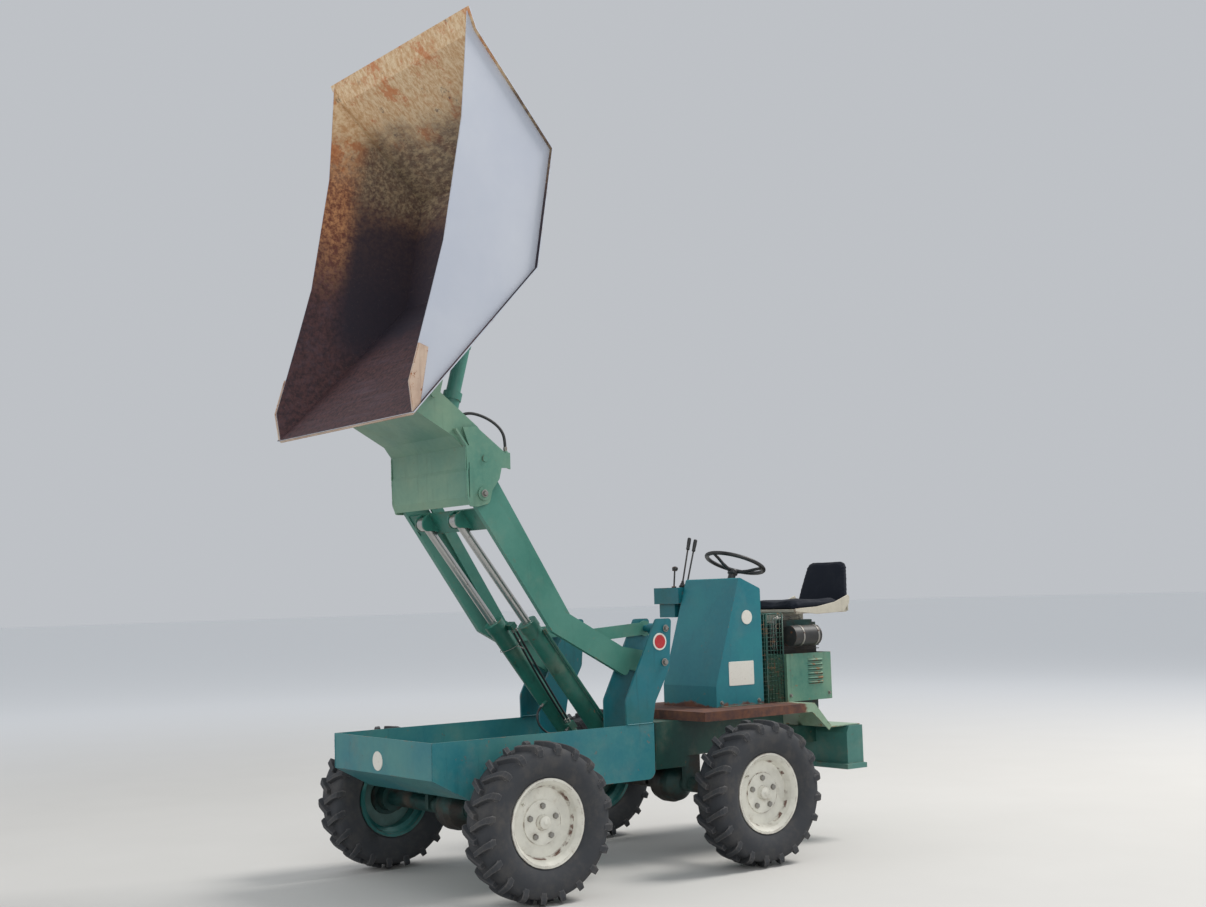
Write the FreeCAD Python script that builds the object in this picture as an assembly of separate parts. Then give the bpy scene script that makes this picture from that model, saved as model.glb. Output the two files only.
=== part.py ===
"""Articulated site dumper with a high-tip boom, skip raised and tipped forwards.

Millimetres. +Z up, front at -Y, the machine's left at +X. While it is modelled, y = 0 lies
midway between the axles; at the end the whole machine is moved so that the origin is the
centre of its footprint on the ground.
"""
import math
import os

import FreeCAD
import Part

V = FreeCAD.Vector

# Wheels and axles
WHEELBASE = 1409.0
HALF_TRACK = 718.0
TYRE_RADIUS = 378.0
TYRE_WIDTH = 214.0
RIM_RADIUS = 208.0
RIM_WIDTH = 164.0
RIM_LIP = 12.0
RIM_WALL = 7.0
DISC_RADIUS = 160.0
DISC_RECESS = 57.0
DISC_WALL = 8.0
HUB_CAP_RADIUS = 38.0
HUB_CAP_LENGTH = 26.0
STUD_CIRCLE = 154.0
STUD_COUNT = 5
STUD_RADIUS = 11.0
STUD_LENGTH = 16.0
AXLE_TUBE_RADIUS = 42.0
# Half of the axle housing: distance from the middle, radius
AXLE_HOUSING = [(125.0, 0.0), (125.0, 46.0), (72.0, 96.0), (30.0, 108.0)]
AXLE_FLANGE_RADIUS = 95.0
AXLE_FLANGE_WALL = 20.0
WHEEL_GAP = 0.3

# Front chassis tray and the pair of columns
TRAY_HALF_WIDTH = 486.0
TRAY_WALL = 8.0
TRAY_TOP = 763.0
TRAY_FLOOR = 478.0
TRAY_FRONT = -1141.0
TRAY_REAR = 200.0
TRAY_NOSE_HEIGHT = 176.0
TRAY_NOSE_RUN = 205.0
TRAY_CORNER = 45.0
TRAY_TAIL_TOP = 562.0
COLUMN_WALL = 12.0
COLUMN_INNER = 301.0
COLUMN_TOP = 1302.0
BOOM_PIVOT = (281.0, 1074.0)
LINK_OFFSET = (13.0, 176.0)
COLUMN_PIN_RADIUS = 20.0
FRONT_SADDLE_HALF_SPAN = 215.0
SADDLE_WALL = 14.0
SADDLE_HALF_LENGTH = 54.0

# Boom, its head and the levelling links
HEAD_PIVOT = (-750.0, 1952.0)
ARM_INNER = 325.0
ARM_WIDTH = 29.8
ARM_DEPTH = 128.0
ARM_KNEE = (-295.0, 1305.0)
ARM_END = (163.0, 1060.0)
EYE_RADIUS = 58.0
EYE_WALL = 20.0
PIN_GAP = 0.05
SIDE_GAP = 5.2
CROSS_PLATE_SPAN = (50.0, 172.0)
CROSS_PLATE_WALL = 12.0
LINK_INNER = 306.0
LINK_WALL = 14.0
LINK_DEPTH = 66.0
LINK_KNEE = (-164.0, 1220.0)
LINK_PIN_RADIUS = 17.0
OPEN_PIN_GAP = 2.0
HEAD_HALF_WIDTH = 372.0
HEAD_WALL = 12.0
BRACKET_HALF_WIDTH = 340.0
SHEET = 10.0

# Lift cylinders
LIFT_ANCHOR = (170.0, 620.0)
LIFT_TOP = (-770.0, 1828.0)
LIFT_HALF_SPACING = 160.0
LIFT_BARREL_RADIUS = 48.0
LIFT_BARREL_LENGTH = 867.0
LIFT_ROD_RADIUS = 22.5
LIFT_STROKE = 385.0
ROD_OVERLAP = 60.0
ROD_SPARE = 10.0
LIFT_EYE_RADIUS = 36.0
LIFT_EYE_WIDTH = 50.0
LUG_WALL = 10.0
ANCHOR_RADIUS = 20.0

# Skip, and the cylinder that tips it
TIP_PIVOT = (-1010.0, 2440.0)
TIP_EYE_RADIUS = 38.0
TIP_PIN_RADIUS = 16.0
SKIP_CORNER = (-581.0, 3055.0)
SKIP_ANGLE = 79.9
SKIP_HALF_FLOOR = 630.0
SKIP_SIDE_FLARE = 5.5
SKIP_WALL = 6.0
SKIP_FLANGE = 22.0
TIP_ANCHOR = (-788.0, 2120.0)
TIP_TOP = (-525.0, 3086.0)
TIP_BARREL_RADIUS = 45.0
TIP_BARREL_LENGTH = 400.0
TIP_STAGE_RADIUS = 38.0
TIP_STAGE_STROKE = 251.0
TIP_ROD_RADIUS = 28.0
TIP_COLLAR = 22.0
TIP_EYE_RADIUS_BASE = 30.0
TIP_EYE_RADIUS_TOP = 34.0
TIP_EYE_WIDTH = 60.0

# Articulation and the rear chassis
PIVOT_Y = 320.0
PIVOT_RADIUS = 25.0
YOKE_HALF_WIDTH = 95.0
YOKE_WALL = 20.0
YOKE_LOW = 500.0
YOKE_HIGH = 715.0
FRAME_HALF_WIDTH = 200.0
FRAME_WALL = 10.0
FRAME_FRONT = 440.0
FRAME_BOX_REAR = 650.0
FRAME_LOW = 482.0
FRAME_HIGH = 736.0
RAIL_LOW = 540.0
RAIL_WIDTH = 45.0
TRANSMISSION_BOX = (-110.0, 110.0, 650.0, 800.0, 492.0, 630.0)
BUMPER_FRONT = 1660.0
BUMPER_DEPTH = 130.0
BUMPER_HALF_WIDTH = 450.0
BUMPER_LOW = 425.0
BUMPER_HIGH = 600.0
BUMPER_LIP = 28.0
TOW_PLATES = (470.0, 545.0)
TOW_WALL = 15.0
TOW_HALF_WIDTH = 50.0
TOW_REACH = 85.0
TOW_HOLE_REACH = 48.0
TOW_HOLE_RADIUS = 13.0
DECK_HALF_WIDTH = 430.0
DECK_FRONT = 602.0
DECK_BREAK = 1430.0
DECK_TOP = 787.0
DECK_SKIRT = 50.0
DECK_WALL = 6.0
DECK_STEP_TOP = 646.0
DECK_STEP_FRONT = 1560.0

# Console, controls and steering
CONSOLE_HALF_WIDTH = 231.0
CONSOLE_WALL = 5.0
CONSOLE_FRONT = 863.0
CONSOLE_REAR = 1223.0
CONSOLE_HIGH = 1515.0
CONSOLE_LOW_TOP = 1447.0
CONSOLE_KNEE = 905.0
CONSOLE_TOP_FRONT = 1061.0
VALVE_BLOCK = (-462.0, -236.0, 1000.0, 1150.0, 1370.0, 1466.0)
STEER_CENTRE = (1248.0, 1600.0)
STEER_TILT = 21.0
STEER_RADIUS = 185.0
STEER_RIM = 14.0
STEER_DISH = 60.0
STEER_HUB_RADIUS = 30.0
STEER_SHAFT_RADIUS = 16.0
STEER_COLUMN_LENGTH = 125.0

# Engine and seat
ENGINE_BOX = (-170.0, 170.0, 1440.0, 1720.0, 1240.0)
COVER_BOX = (-245.0, 245.0, 1400.0, 1762.0, 1062.0)
COVER_WALL = 6.0
AIR_FILTER = (1445.0, 1655.0, 1165.0)
AIR_FILTER_RADIUS = 60.0
GUARD_FRONT = 1262.0
GUARD_HIGH = 1298.0
SEAT_FRONT = 1500.0
SEAT_REAR = 1945.0
SEAT_BASE = 1318.0
SEAT_THICKNESS = 62.0
SEAT_HALF_WIDTH = 225.0
SEAT_TOP = 1614.0

FRONT_AXLE_Y = -WHEELBASE / 2
REAR_AXLE_Y = WHEELBASE / 2
LINK_PIVOT = (BOOM_PIVOT[0] + LINK_OFFSET[0], BOOM_PIVOT[1] + LINK_OFFSET[1])
LINK_TIP = (HEAD_PIVOT[0] + LINK_OFFSET[0], HEAD_PIVOT[1] + LINK_OFFSET[1])
SIDES = ((1, "left"), (-1, "right"))


def block(x0, x1, y0, y1, z0, z1):
    """Rectangular solid between two corners."""
    return Part.makeBox(x1 - x0, y1 - y0, z1 - z0, V(x0, y0, z0))


def rod(start, end, radius):
    """Round bar between two points."""
    axis = V(*end).sub(V(*start))
    return Part.makeCylinder(radius, axis.Length, V(*start), axis)


def outline(points):
    """Closed wire in the y-z plane; a point is (y, z) or (y, z, corner radius)."""
    count = len(points)
    edges = []
    cuts = []
    for index, point in enumerate(points):
        here = V(0, point[0], point[1])
        radius = point[2] if len(point) > 2 else 0.0
        before = V(0, *points[index - 1][:2])
        after = V(0, *points[(index + 1) % count][:2])
        if radius <= 0:
            cuts.append((here, here, None))
            continue
        back = before.sub(here).normalize()
        ahead = after.sub(here).normalize()
        half = back.getAngle(ahead) / 2
        run = radius / math.tan(half)
        middle = back.add(ahead).normalize()
        centre = here.add(middle * (radius / math.sin(half)))
        top = centre.sub(middle * radius)
        cuts.append((here.add(back * run), here.add(ahead * run), top))
    for index, (enter, leave, top) in enumerate(cuts):
        if top is not None:
            edges.append(Part.Arc(enter, top, leave).toShape())
        following = cuts[(index + 1) % count][0]
        if leave.distanceToPoint(following) > 1e-6:
            edges.append(Part.LineSegment(leave, following).toShape())
    return Part.Wire(edges)


def plate(points, x0, x1):
    """Plate with a y-z outline, from x0 to x1."""
    shape = Part.Face(outline(points)).extrude(V(x1 - x0, 0, 0))
    shape.translate(V(x0, 0, 0))
    return shape


def fuse(shapes):
    """One solid from overlapping or touching ones."""
    result = shapes[0].multiFuse(shapes[1:]) if len(shapes) > 1 else shapes[0]
    return result.removeSplitter()


def across(shape):
    """Mirror image on the other side of the machine."""
    return shape.mirror(V(0, 0, 0), V(1, 0, 0))


def both(shape):
    """A piece and its mirror image, as solids that don't touch."""
    return Part.makeCompound([shape, across(shape)])


def side_of(shape, side):
    """The piece as modelled for the left side, or its mirror image."""
    return shape if side > 0 else across(shape)


def along(start, end, distance, offset=0.0):
    """Point at a distance along a line in the y-z plane, moved to its left by offset."""
    run = math.hypot(end[0] - start[0], end[1] - start[1])
    u = ((end[0] - start[0]) / run, (end[1] - start[1]) / run)
    return (start[0] + u[0] * distance - u[1] * offset, start[1] + u[1] * distance + u[0] * offset)


def crossing(line_a, line_b):
    """Where two lines in the y-z plane meet; a line is a pair of points."""
    (ay, az), (by, bz) = line_a
    (cy, cz), (dy, dz) = line_b
    u = (by - ay, bz - az)
    w = (dy - cy, dz - cz)
    t = ((cy - ay) * w[1] - (cz - az) * w[0]) / (u[0] * w[1] - u[1] * w[0])
    return (ay + u[0] * t, az + u[1] * t)


def bar_outline(start, knee, end, half, start_radius, end_radius, knee_radius=20.0):
    """Outline of a bent flat bar of a given half depth through three points."""
    upper = (along(start, knee, 0, half), along(start, knee, 1, half))
    upper_next = (along(knee, end, 0, half), along(knee, end, 1, half))
    lower = (along(start, knee, 0, -half), along(start, knee, 1, -half))
    lower_next = (along(knee, end, 0, -half), along(knee, end, 1, -half))
    reach = math.hypot(end[0] - knee[0], end[1] - knee[1])
    last_upper = along(knee, end, reach, half)
    last_lower = along(knee, end, reach, -half)
    return [
        (*upper[0], start_radius),
        (*crossing(upper, upper_next), knee_radius),
        (*last_upper, end_radius),
        (*last_lower, end_radius),
        (*crossing(lower, lower_next), knee_radius),
        (*lower[0], start_radius),
    ]


def turned(profile):
    """Ring turned about a wheel's axle line; the profile is a list of (x, radius)."""
    points = [V(x, 0, r) for x, r in profile]
    wire = Part.makePolygon(points + [points[0]])
    return Part.Face(wire).revolve(V(0, 0, 0), V(1, 0, 0), 360)


def wheel_rim():
    """Rim and disc of a left wheel, on an axle line through the origin."""
    half = RIM_WIDTH / 2
    bead = RIM_RADIUS - 18.0
    well = RIM_RADIUS - 40.0
    barrel = turned([
        (-half, RIM_RADIUS), (-half, bead), (-half + 26, bead - RIM_WALL), (-half + 40, well - RIM_WALL),
        (half - DISC_RECESS - DISC_WALL, well - RIM_WALL), (half - 20, bead - RIM_WALL - 4),
        (half, RIM_RADIUS - RIM_LIP), (half, RIM_RADIUS), (half - 8, RIM_RADIUS), (half - 12, bead),
        (half - 26, bead), (half - 44, well), (-half + 44, well), (-half + 28, bead), (-half + 12, bead),
        (-half + 8, RIM_RADIUS),
    ])
    face = half - DISC_RECESS
    disc = Part.makeCylinder(DISC_RADIUS + 8, DISC_WALL, V(face - DISC_WALL, 0, 0), V(1, 0, 0))
    boss = Part.makeCylinder(STUD_CIRCLE / 2 + 28, DISC_WALL + 6, V(face - DISC_WALL, 0, 0), V(1, 0, 0))
    cap = Part.makeCone(HUB_CAP_RADIUS, HUB_CAP_RADIUS - 6, HUB_CAP_LENGTH, V(face, 0, 0), V(1, 0, 0))
    pieces = [barrel, disc, boss, cap]
    for index in range(STUD_COUNT):
        angle = math.radians(90 + index * 360 / STUD_COUNT)
        centre = V(face, STUD_CIRCLE / 2 * math.cos(angle), STUD_CIRCLE / 2 * math.sin(angle))
        pieces.append(Part.makeCylinder(STUD_RADIUS, STUD_LENGTH, centre, V(1, 0, 0)))
    return fuse(pieces)


def wheel_tyre():
    """Tyre of a left wheel, on an axle line through the origin."""
    half = TYRE_WIDTH / 2
    bead = RIM_RADIUS - 18.0 + 0.4
    seat = RIM_WIDTH / 2 - 12.4
    shoulder = TYRE_RADIUS - 34.0
    return turned([
        (-seat, bead), (-seat, RIM_RADIUS + 4), (-half, RIM_RADIUS + 58), (-half + 4, shoulder - 22),
        (-half + 22, TYRE_RADIUS - 8), (-half + 60, TYRE_RADIUS), (half - 60, TYRE_RADIUS),
        (half - 22, TYRE_RADIUS - 8), (half - 4, shoulder - 22), (half, RIM_RADIUS + 58),
        (seat, RIM_RADIUS + 4), (seat, bead),
    ])


def place_wheel(shape, side, y):
    """Wheel piece moved to its axle end."""
    placed = side_of(shape, side).copy()
    placed.translate(V(side * HALF_TRACK, y, TYRE_RADIUS))
    return placed


def axle(y, saddle_top, half_span):
    """Axle with its final drive housing, wheel flanges and saddles up to the chassis."""
    disc_back = HALF_TRACK + RIM_WIDTH / 2 - DISC_RECESS - DISC_WALL
    reach = disc_back - WHEEL_GAP
    tube = rod((-reach, y, TYRE_RADIUS), (reach, y, TYRE_RADIUS), AXLE_TUBE_RADIUS)
    housing = turned([(-x, r) for x, r in AXLE_HOUSING] + [(x, r) for x, r in reversed(AXLE_HOUSING)])
    housing.translate(V(0, y, TYRE_RADIUS))
    housing = housing.common(block(-200, 200, y - 200, y + 200, 0, saddle_top))
    pieces = [tube, housing]
    for side, _ in SIDES:
        inner = side * (reach - AXLE_FLANGE_WALL)
        pieces.append(rod((inner, y, TYRE_RADIUS), (side * reach, y, TYRE_RADIUS), AXLE_FLANGE_RADIUS))
        drum_start = side * (reach - AXLE_FLANGE_WALL - 70)
        pieces.append(rod((drum_start, y, TYRE_RADIUS), (inner, y, TYRE_RADIUS), 72.0))
        x = side * half_span
        pieces.append(block(x - SADDLE_WALL, x + SADDLE_WALL, y - SADDLE_HALF_LENGTH,
                            y + SADDLE_HALF_LENGTH, TYRE_RADIUS - 20, saddle_top))
    return fuse(pieces)


def tray():
    """Open-topped front chassis: side plates, front plate, sloping nose and floor."""
    nose_low = TRAY_TOP - TRAY_NOSE_HEIGHT
    nose_back = TRAY_FRONT + TRAY_NOSE_RUN
    side = plate([
        (TRAY_FRONT, nose_low), (TRAY_FRONT, TRAY_TOP), (TRAY_REAR, TRAY_TOP),
        (TRAY_REAR, TRAY_FLOOR, TRAY_CORNER), (nose_back, TRAY_FLOOR),
    ], TRAY_HALF_WIDTH - TRAY_WALL, TRAY_HALF_WIDTH)
    wide = TRAY_HALF_WIDTH
    front = block(-wide, wide, TRAY_FRONT, TRAY_FRONT + TRAY_WALL, nose_low, TRAY_TOP)
    floor = block(-wide, wide, nose_back, TRAY_REAR - TRAY_CORNER, TRAY_FLOOR, TRAY_FLOOR + TRAY_WALL)
    nose = plate([
        (TRAY_FRONT, nose_low), (TRAY_FRONT, nose_low + TRAY_WALL), (nose_back, TRAY_FLOOR + TRAY_WALL),
        (nose_back, TRAY_FLOOR),
    ], -wide, wide)
    tail = block(-wide, wide, TRAY_REAR - TRAY_WALL, TRAY_REAR, TRAY_FLOOR + TRAY_CORNER, TRAY_TAIL_TOP)
    link = block(-wide, wide, TRAY_REAR - TRAY_CORNER - 4, TRAY_REAR, TRAY_FLOOR + TRAY_CORNER,
                 TRAY_FLOOR + TRAY_CORNER + TRAY_WALL)
    riser = block(-wide, wide, TRAY_REAR - TRAY_CORNER - TRAY_WALL, TRAY_REAR - TRAY_CORNER, TRAY_FLOOR,
                  TRAY_FLOOR + TRAY_CORNER + TRAY_WALL)
    return fuse([side, across(side), front, floor, nose, tail, link, riser])


def column():
    """Outer and inner column plates of the left side, joined by the boom and link pins."""
    profile = [
        (22, TRAY_TOP), (20, 888, 60), (236, COLUMN_TOP, 18), (339, COLUMN_TOP, 18), (317, 1041, 60),
        (215, 870, 60), (194, TRAY_TOP),
    ]
    outer_start = TRAY_HALF_WIDTH - COLUMN_WALL
    outer = plate(profile, outer_start, TRAY_HALF_WIDTH)
    inner_profile = list(profile)
    riser = TRAY_REAR - TRAY_CORNER - TRAY_WALL
    inner_profile[0] = (inner_profile[0][0], TRAY_FLOOR + TRAY_WALL)
    inner_profile[-1:] = [(194, TRAY_TOP), (riser, TRAY_FLOOR + TRAY_CORNER + TRAY_WALL),
                          (riser, TRAY_FLOOR + TRAY_WALL)]
    inner_start = COLUMN_INNER - COLUMN_WALL
    inner = plate(inner_profile, inner_start, COLUMN_INNER)
    pins = []
    for (y, z), radius in ((BOOM_PIVOT, COLUMN_PIN_RADIUS), (LINK_PIVOT, LINK_PIN_RADIUS)):
        pins.append(rod((inner_start, y, z), (TRAY_HALF_WIDTH + 6, y, z), radius))
        pins.append(rod((ARM_INNER + ARM_WIDTH + SIDE_GAP, y, z), (outer_start, y, z), radius + 10))
    anchor = rod((0, *LIFT_ANCHOR), (TRAY_HALF_WIDTH, *LIFT_ANCHOR), ANCHOR_RADIUS)
    return fuse([outer, inner] + pins).cut(anchor)


def front_yoke():
    """Two plates behind the tray that hold the upright articulation pin."""
    end = PIVOT_Y + PIVOT_RADIUS + 30
    pieces = []
    for z in (YOKE_LOW, YOKE_HIGH - YOKE_WALL):
        ear = block(-YOKE_HALF_WIDTH, YOKE_HALF_WIDTH, TRAY_REAR, PIVOT_Y, z, z + YOKE_WALL)
        tip = Part.makeCylinder(end - PIVOT_Y, YOKE_WALL, V(0, PIVOT_Y, z))
        pieces += [ear, tip]
    web = block(-YOKE_HALF_WIDTH, YOKE_HALF_WIDTH, TRAY_REAR, TRAY_REAR + 12, YOKE_LOW, YOKE_HIGH)
    pin = Part.makeCylinder(PIVOT_RADIUS, YOKE_HIGH - YOKE_LOW + 24, V(0, PIVOT_Y, YOKE_LOW - 12))
    return fuse(pieces + [web, pin])


def rear_frame():
    """Box ahead of the rear axle, two rails under the deck and the tongue on the articulation pin."""
    wide = FRAME_HALF_WIDTH
    deck_under = DECK_TOP - DECK_WALL
    outer = block(-wide, wide, FRAME_FRONT, FRAME_BOX_REAR, FRAME_LOW, FRAME_HIGH)
    inner = block(-wide + FRAME_WALL, wide - FRAME_WALL, FRAME_FRONT + FRAME_WALL, FRAME_BOX_REAR - FRAME_WALL,
                  FRAME_LOW - 1, FRAME_HIGH - FRAME_WALL)
    pieces = [outer.cut(inner)]
    rail = block(wide - RAIL_WIDTH, wide, FRAME_BOX_REAR - FRAME_WALL, BUMPER_FRONT, RAIL_LOW,
                 DECK_STEP_TOP - DECK_WALL)
    web = block(wide - FRAME_WALL, wide, DECK_FRONT + DECK_WALL, DECK_BREAK - 30, RAIL_LOW, deck_under)
    pieces += [rail, across(rail), web, across(web)]
    low = YOKE_LOW + YOKE_WALL + SIDE_GAP
    high = YOKE_HIGH - YOKE_WALL - SIDE_GAP
    tongue = block(-60, 60, PIVOT_Y, FRAME_FRONT + FRAME_WALL, low, high)
    nose = Part.makeCylinder(60, high - low, V(0, PIVOT_Y, low))
    bore = Part.makeCylinder(PIVOT_RADIUS + PIN_GAP, high - low + 20, V(0, PIVOT_Y, low - 10))
    return fuse(pieces + [tongue, nose]).cut(bore)


def boom_arm():
    """Dog-leg box arm of the left side with its eye at the column and its eye at the head."""
    half = ARM_DEPTH / 2
    reach = math.hypot(ARM_END[0] - ARM_KNEE[0], ARM_END[1] - ARM_KNEE[1])
    arm = plate(bar_outline(HEAD_PIVOT, ARM_KNEE, along(ARM_KNEE, ARM_END, reach), half, 0, 24, 30),
                ARM_INNER, ARM_INNER + ARM_WIDTH)
    tip = rod((ARM_INNER, *HEAD_PIVOT), (ARM_INNER + ARM_WIDTH, *HEAD_PIVOT), half)
    root = along(ARM_KNEE, ARM_END, reach - 110, 0)
    eye = plate([
        along(ARM_KNEE, ARM_END, reach - 120, half - 8),
        (BOOM_PIVOT[0] - 10, BOOM_PIVOT[1] + EYE_RADIUS),
        (BOOM_PIVOT[0] + EYE_RADIUS - 6, BOOM_PIVOT[1] + EYE_RADIUS, 50),
        (BOOM_PIVOT[0] + EYE_RADIUS - 6, BOOM_PIVOT[1] - EYE_RADIUS, 50),
        (BOOM_PIVOT[0] - 20, BOOM_PIVOT[1] - EYE_RADIUS),
        along(ARM_KNEE, ARM_END, reach - 40, -half + 30),
        along(ARM_KNEE, ARM_END, reach - 120, -half + 8),
    ], ARM_INNER + 6, ARM_INNER + 6 + EYE_WALL)
    body = fuse([arm, tip, eye])
    for (y, z), radius in ((BOOM_PIVOT, COLUMN_PIN_RADIUS), (HEAD_PIVOT, COLUMN_PIN_RADIUS)):
        body = body.cut(rod((0, y, z), (600, y, z), radius + PIN_GAP))
    return body


def boom_cross_plate():
    """Plate between the arms' lower edges with two pairs of lugs for the lift rods' eyes."""
    low = 6 - ARM_DEPTH / 2
    start, end = CROSS_PLATE_SPAN
    body = plate([
        along(HEAD_PIVOT, ARM_KNEE, start, low), along(HEAD_PIVOT, ARM_KNEE, end, low),
        along(HEAD_PIVOT, ARM_KNEE, end, low + CROSS_PLATE_WALL),
        along(HEAD_PIVOT, ARM_KNEE, start, low + CROSS_PLATE_WALL),
    ], -ARM_INNER, ARM_INNER)
    pieces = [body]
    y, z = LIFT_TOP
    eye = LIFT_EYE_RADIUS + 2
    lug_points = [
        along(HEAD_PIVOT, ARM_KNEE, start, low + CROSS_PLATE_WALL),
        along(HEAD_PIVOT, ARM_KNEE, end, low + CROSS_PLATE_WALL),
        (y + eye, z - eye, eye - 6), (y - eye, z - eye, eye - 6), (y - eye, z + eye - 8, eye - 8),
    ]
    gap = LIFT_EYE_WIDTH / 2 + SIDE_GAP
    for side, _ in SIDES:
        for direction in (-1, 1):
            face = side * LIFT_HALF_SPACING + direction * gap
            edges = sorted((face, face + direction * LUG_WALL))
            pieces.append(plate(lug_points, edges[0], edges[1]))
    result = fuse(pieces)
    for side, _ in SIDES:
        x = side * LIFT_HALF_SPACING
        result = result.cut(rod((x - gap, y, z), (x + gap, y, z), LIFT_EYE_RADIUS + SIDE_GAP))
    return result


def levelling_link():
    """Bent flat link of the left side that keeps the head level as the boom moves."""
    half = LINK_DEPTH / 2
    bar = plate(bar_outline(LINK_TIP, LINK_KNEE, LINK_PIVOT, half, 0, 0, 25), LINK_INNER, LINK_INNER + LINK_WALL)
    pieces = [bar]
    for y, z in (LINK_TIP, LINK_PIVOT):
        pieces.append(rod((LINK_INNER, y, z), (LINK_INNER + LINK_WALL, y, z), half + 8))
    link = fuse(pieces)
    for (y, z), gap in ((LINK_PIVOT, PIN_GAP), (LINK_TIP, OPEN_PIN_GAP)):
        link = link.cut(rod((0, y, z), (600, y, z), LINK_PIN_RADIUS + gap))
    return link


def head_box():
    """Weldment at the boom's tip: side plates, bent front plate, upper bracket and pins."""
    inner = HEAD_HALF_WIDTH - HEAD_WALL
    side = plate([
        (-828, 1888, 12), (-828, 2190), (-862, 2280), (-784, 2286), (-629, 2171), (-599, 2146),
        (-607, 2084), (-638, 2083), (-652, 2027), (-696, 1969), (-712, 1905, 30), (-782, 1887, 20),
    ], inner, HEAD_HALF_WIDTH)
    front = plate([
        (-826, 1896), (-842, 1935), (-846, 2062), (-842, 2080), (-846, 2190), (-905, 2268), (-897, 2274),
        (-836, 2193), (-832, 2080), (-836, 2062), (-832, 1937), (-817, 1900),
    ], -HEAD_HALF_WIDTH, HEAD_HALF_WIDTH)
    bracket_inner = BRACKET_HALF_WIDTH - SHEET
    bracket = plate([
        (-1106, 2350), (-1106, 2470, 10), (-1000, 2476, 22), (-758, 2291), (-700, 2230), (-760, 2175),
        (-836, 2175), (-905, 2245),
    ], bracket_inner, BRACKET_HALF_WIDTH)
    floor = plate([(-1106, 2350), (-1102, 2359), (-900, 2250), (-838, 2192), (-846, 2186), (-905, 2240)],
                  -BRACKET_HALF_WIDTH, BRACKET_HALF_WIDTH)
    spacer = plate([(-836, 2100), (-836, 2190), (-760, 2190), (-740, 2175), (-770, 2160)],
                   bracket_inner, HEAD_HALF_WIDTH)
    pieces = [side, across(side), front, bracket, across(bracket), floor, spacer, across(spacer)]
    for side_sign, _ in SIDES:
        y, z = HEAD_PIVOT
        pieces.append(rod((side_sign * (ARM_INNER - 4), y, z), (side_sign * (HEAD_HALF_WIDTH + 14), y, z),
                          COLUMN_PIN_RADIUS))
        pieces.append(rod((side_sign * inner, y, z), (side_sign * (HEAD_HALF_WIDTH + 10), y, z), 34.0))
        y, z = LINK_TIP
        pieces.append(rod((side_sign * (LINK_INNER - 4), y, z), (side_sign * (HEAD_HALF_WIDTH + 8), y, z),
                          LINK_PIN_RADIUS))
        y, z = TIP_PIVOT
        pieces.append(rod((side_sign * (bracket_inner - 30), y, z), (side_sign * (BRACKET_HALF_WIDTH + 8), y, z),
                          TIP_PIN_RADIUS))
    gap = TIP_BARREL_RADIUS + SIDE_GAP
    y, z = TIP_ANCHOR
    lug = plate([(-838, z - 60), (-838, z + 56), (y + 20, z + 56, 30), (y + 44, z - 20, 40), (y + 10, z - 60, 20)],
                gap, gap + LUG_WALL)
    shaft = rod((-gap - LUG_WALL - 6, y, z), (gap + LUG_WALL + 6, y, z), TIP_PIN_RADIUS)
    return fuse(pieces + [lug, across(lug), shaft])


def cylinder_barrel(start, end, x, length, radius, eye_width, pin_radius, eye_radius, bore_radius, travel):
    """Hydraulic barrel with its lower eye at start, bored from its open end for what slides in it."""
    gland = along(start, end, length - 42)
    top = along(start, end, length)
    foot = along(start, end, eye_radius * 0.8)
    body = rod((x, *foot), (x, *top), radius)
    collar = rod((x, *gland), (x, *top), radius + 5)
    eye = rod((x - eye_width / 2, *start), (x + eye_width / 2, *start), eye_radius)
    shape = fuse([body, collar, eye])
    pin_hole = rod((x - eye_width, *start), (x + eye_width, *start), pin_radius + PIN_GAP)
    deep = along(start, end, length - ROD_OVERLAP - travel - ROD_SPARE)
    mouth = along(start, end, length + 1)
    return shape.cut(pin_hole).cut(rod((x, *deep), (x, *mouth), bore_radius + PIN_GAP))


def cylinder_rod(start, end, x, length, radius, eye_width, eye_radius):
    """Rod that leaves the barrel's end at a distance along the cylinder, with a solid eye at end."""
    foot = along(start, end, length - ROD_OVERLAP)
    neck = rod((x, *foot), (x, *end), radius)
    eye = rod((x - eye_width / 2, *end), (x + eye_width / 2, *end), eye_radius)
    return fuse([neck, eye])


def lift_barrel():
    """Barrel of the left lift cylinder."""
    return cylinder_barrel(LIFT_ANCHOR, LIFT_TOP, LIFT_HALF_SPACING, LIFT_BARREL_LENGTH, LIFT_BARREL_RADIUS,
                           LIFT_EYE_WIDTH, ANCHOR_RADIUS, LIFT_BARREL_RADIUS - 4, LIFT_ROD_RADIUS, LIFT_STROKE)


def lift_rod():
    """Rod of the left lift cylinder."""
    return cylinder_rod(LIFT_ANCHOR, LIFT_TOP, LIFT_HALF_SPACING, LIFT_BARREL_LENGTH, LIFT_ROD_RADIUS,
                        LIFT_EYE_WIDTH, LIFT_EYE_RADIUS)


def skip_point(run, rise):
    """Point of the skip's own side view: run back along its floor, rise towards its mouth."""
    angle = math.radians(SKIP_ANGLE)
    return (SKIP_CORNER[0] + run * math.cos(angle) - rise * math.sin(angle),
            SKIP_CORNER[1] + run * math.sin(angle) + rise * math.cos(angle))


# Skip's side view, (run, rise): pouring lip, front of floor, rear of floor, rear wall, rear lip
SKIP_WRAP = [(-884.0, 609.0), (0.0, 0.0), (634.0, 0.0), (1050.0, 556.0), (1145.0, 619.0)]
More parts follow.
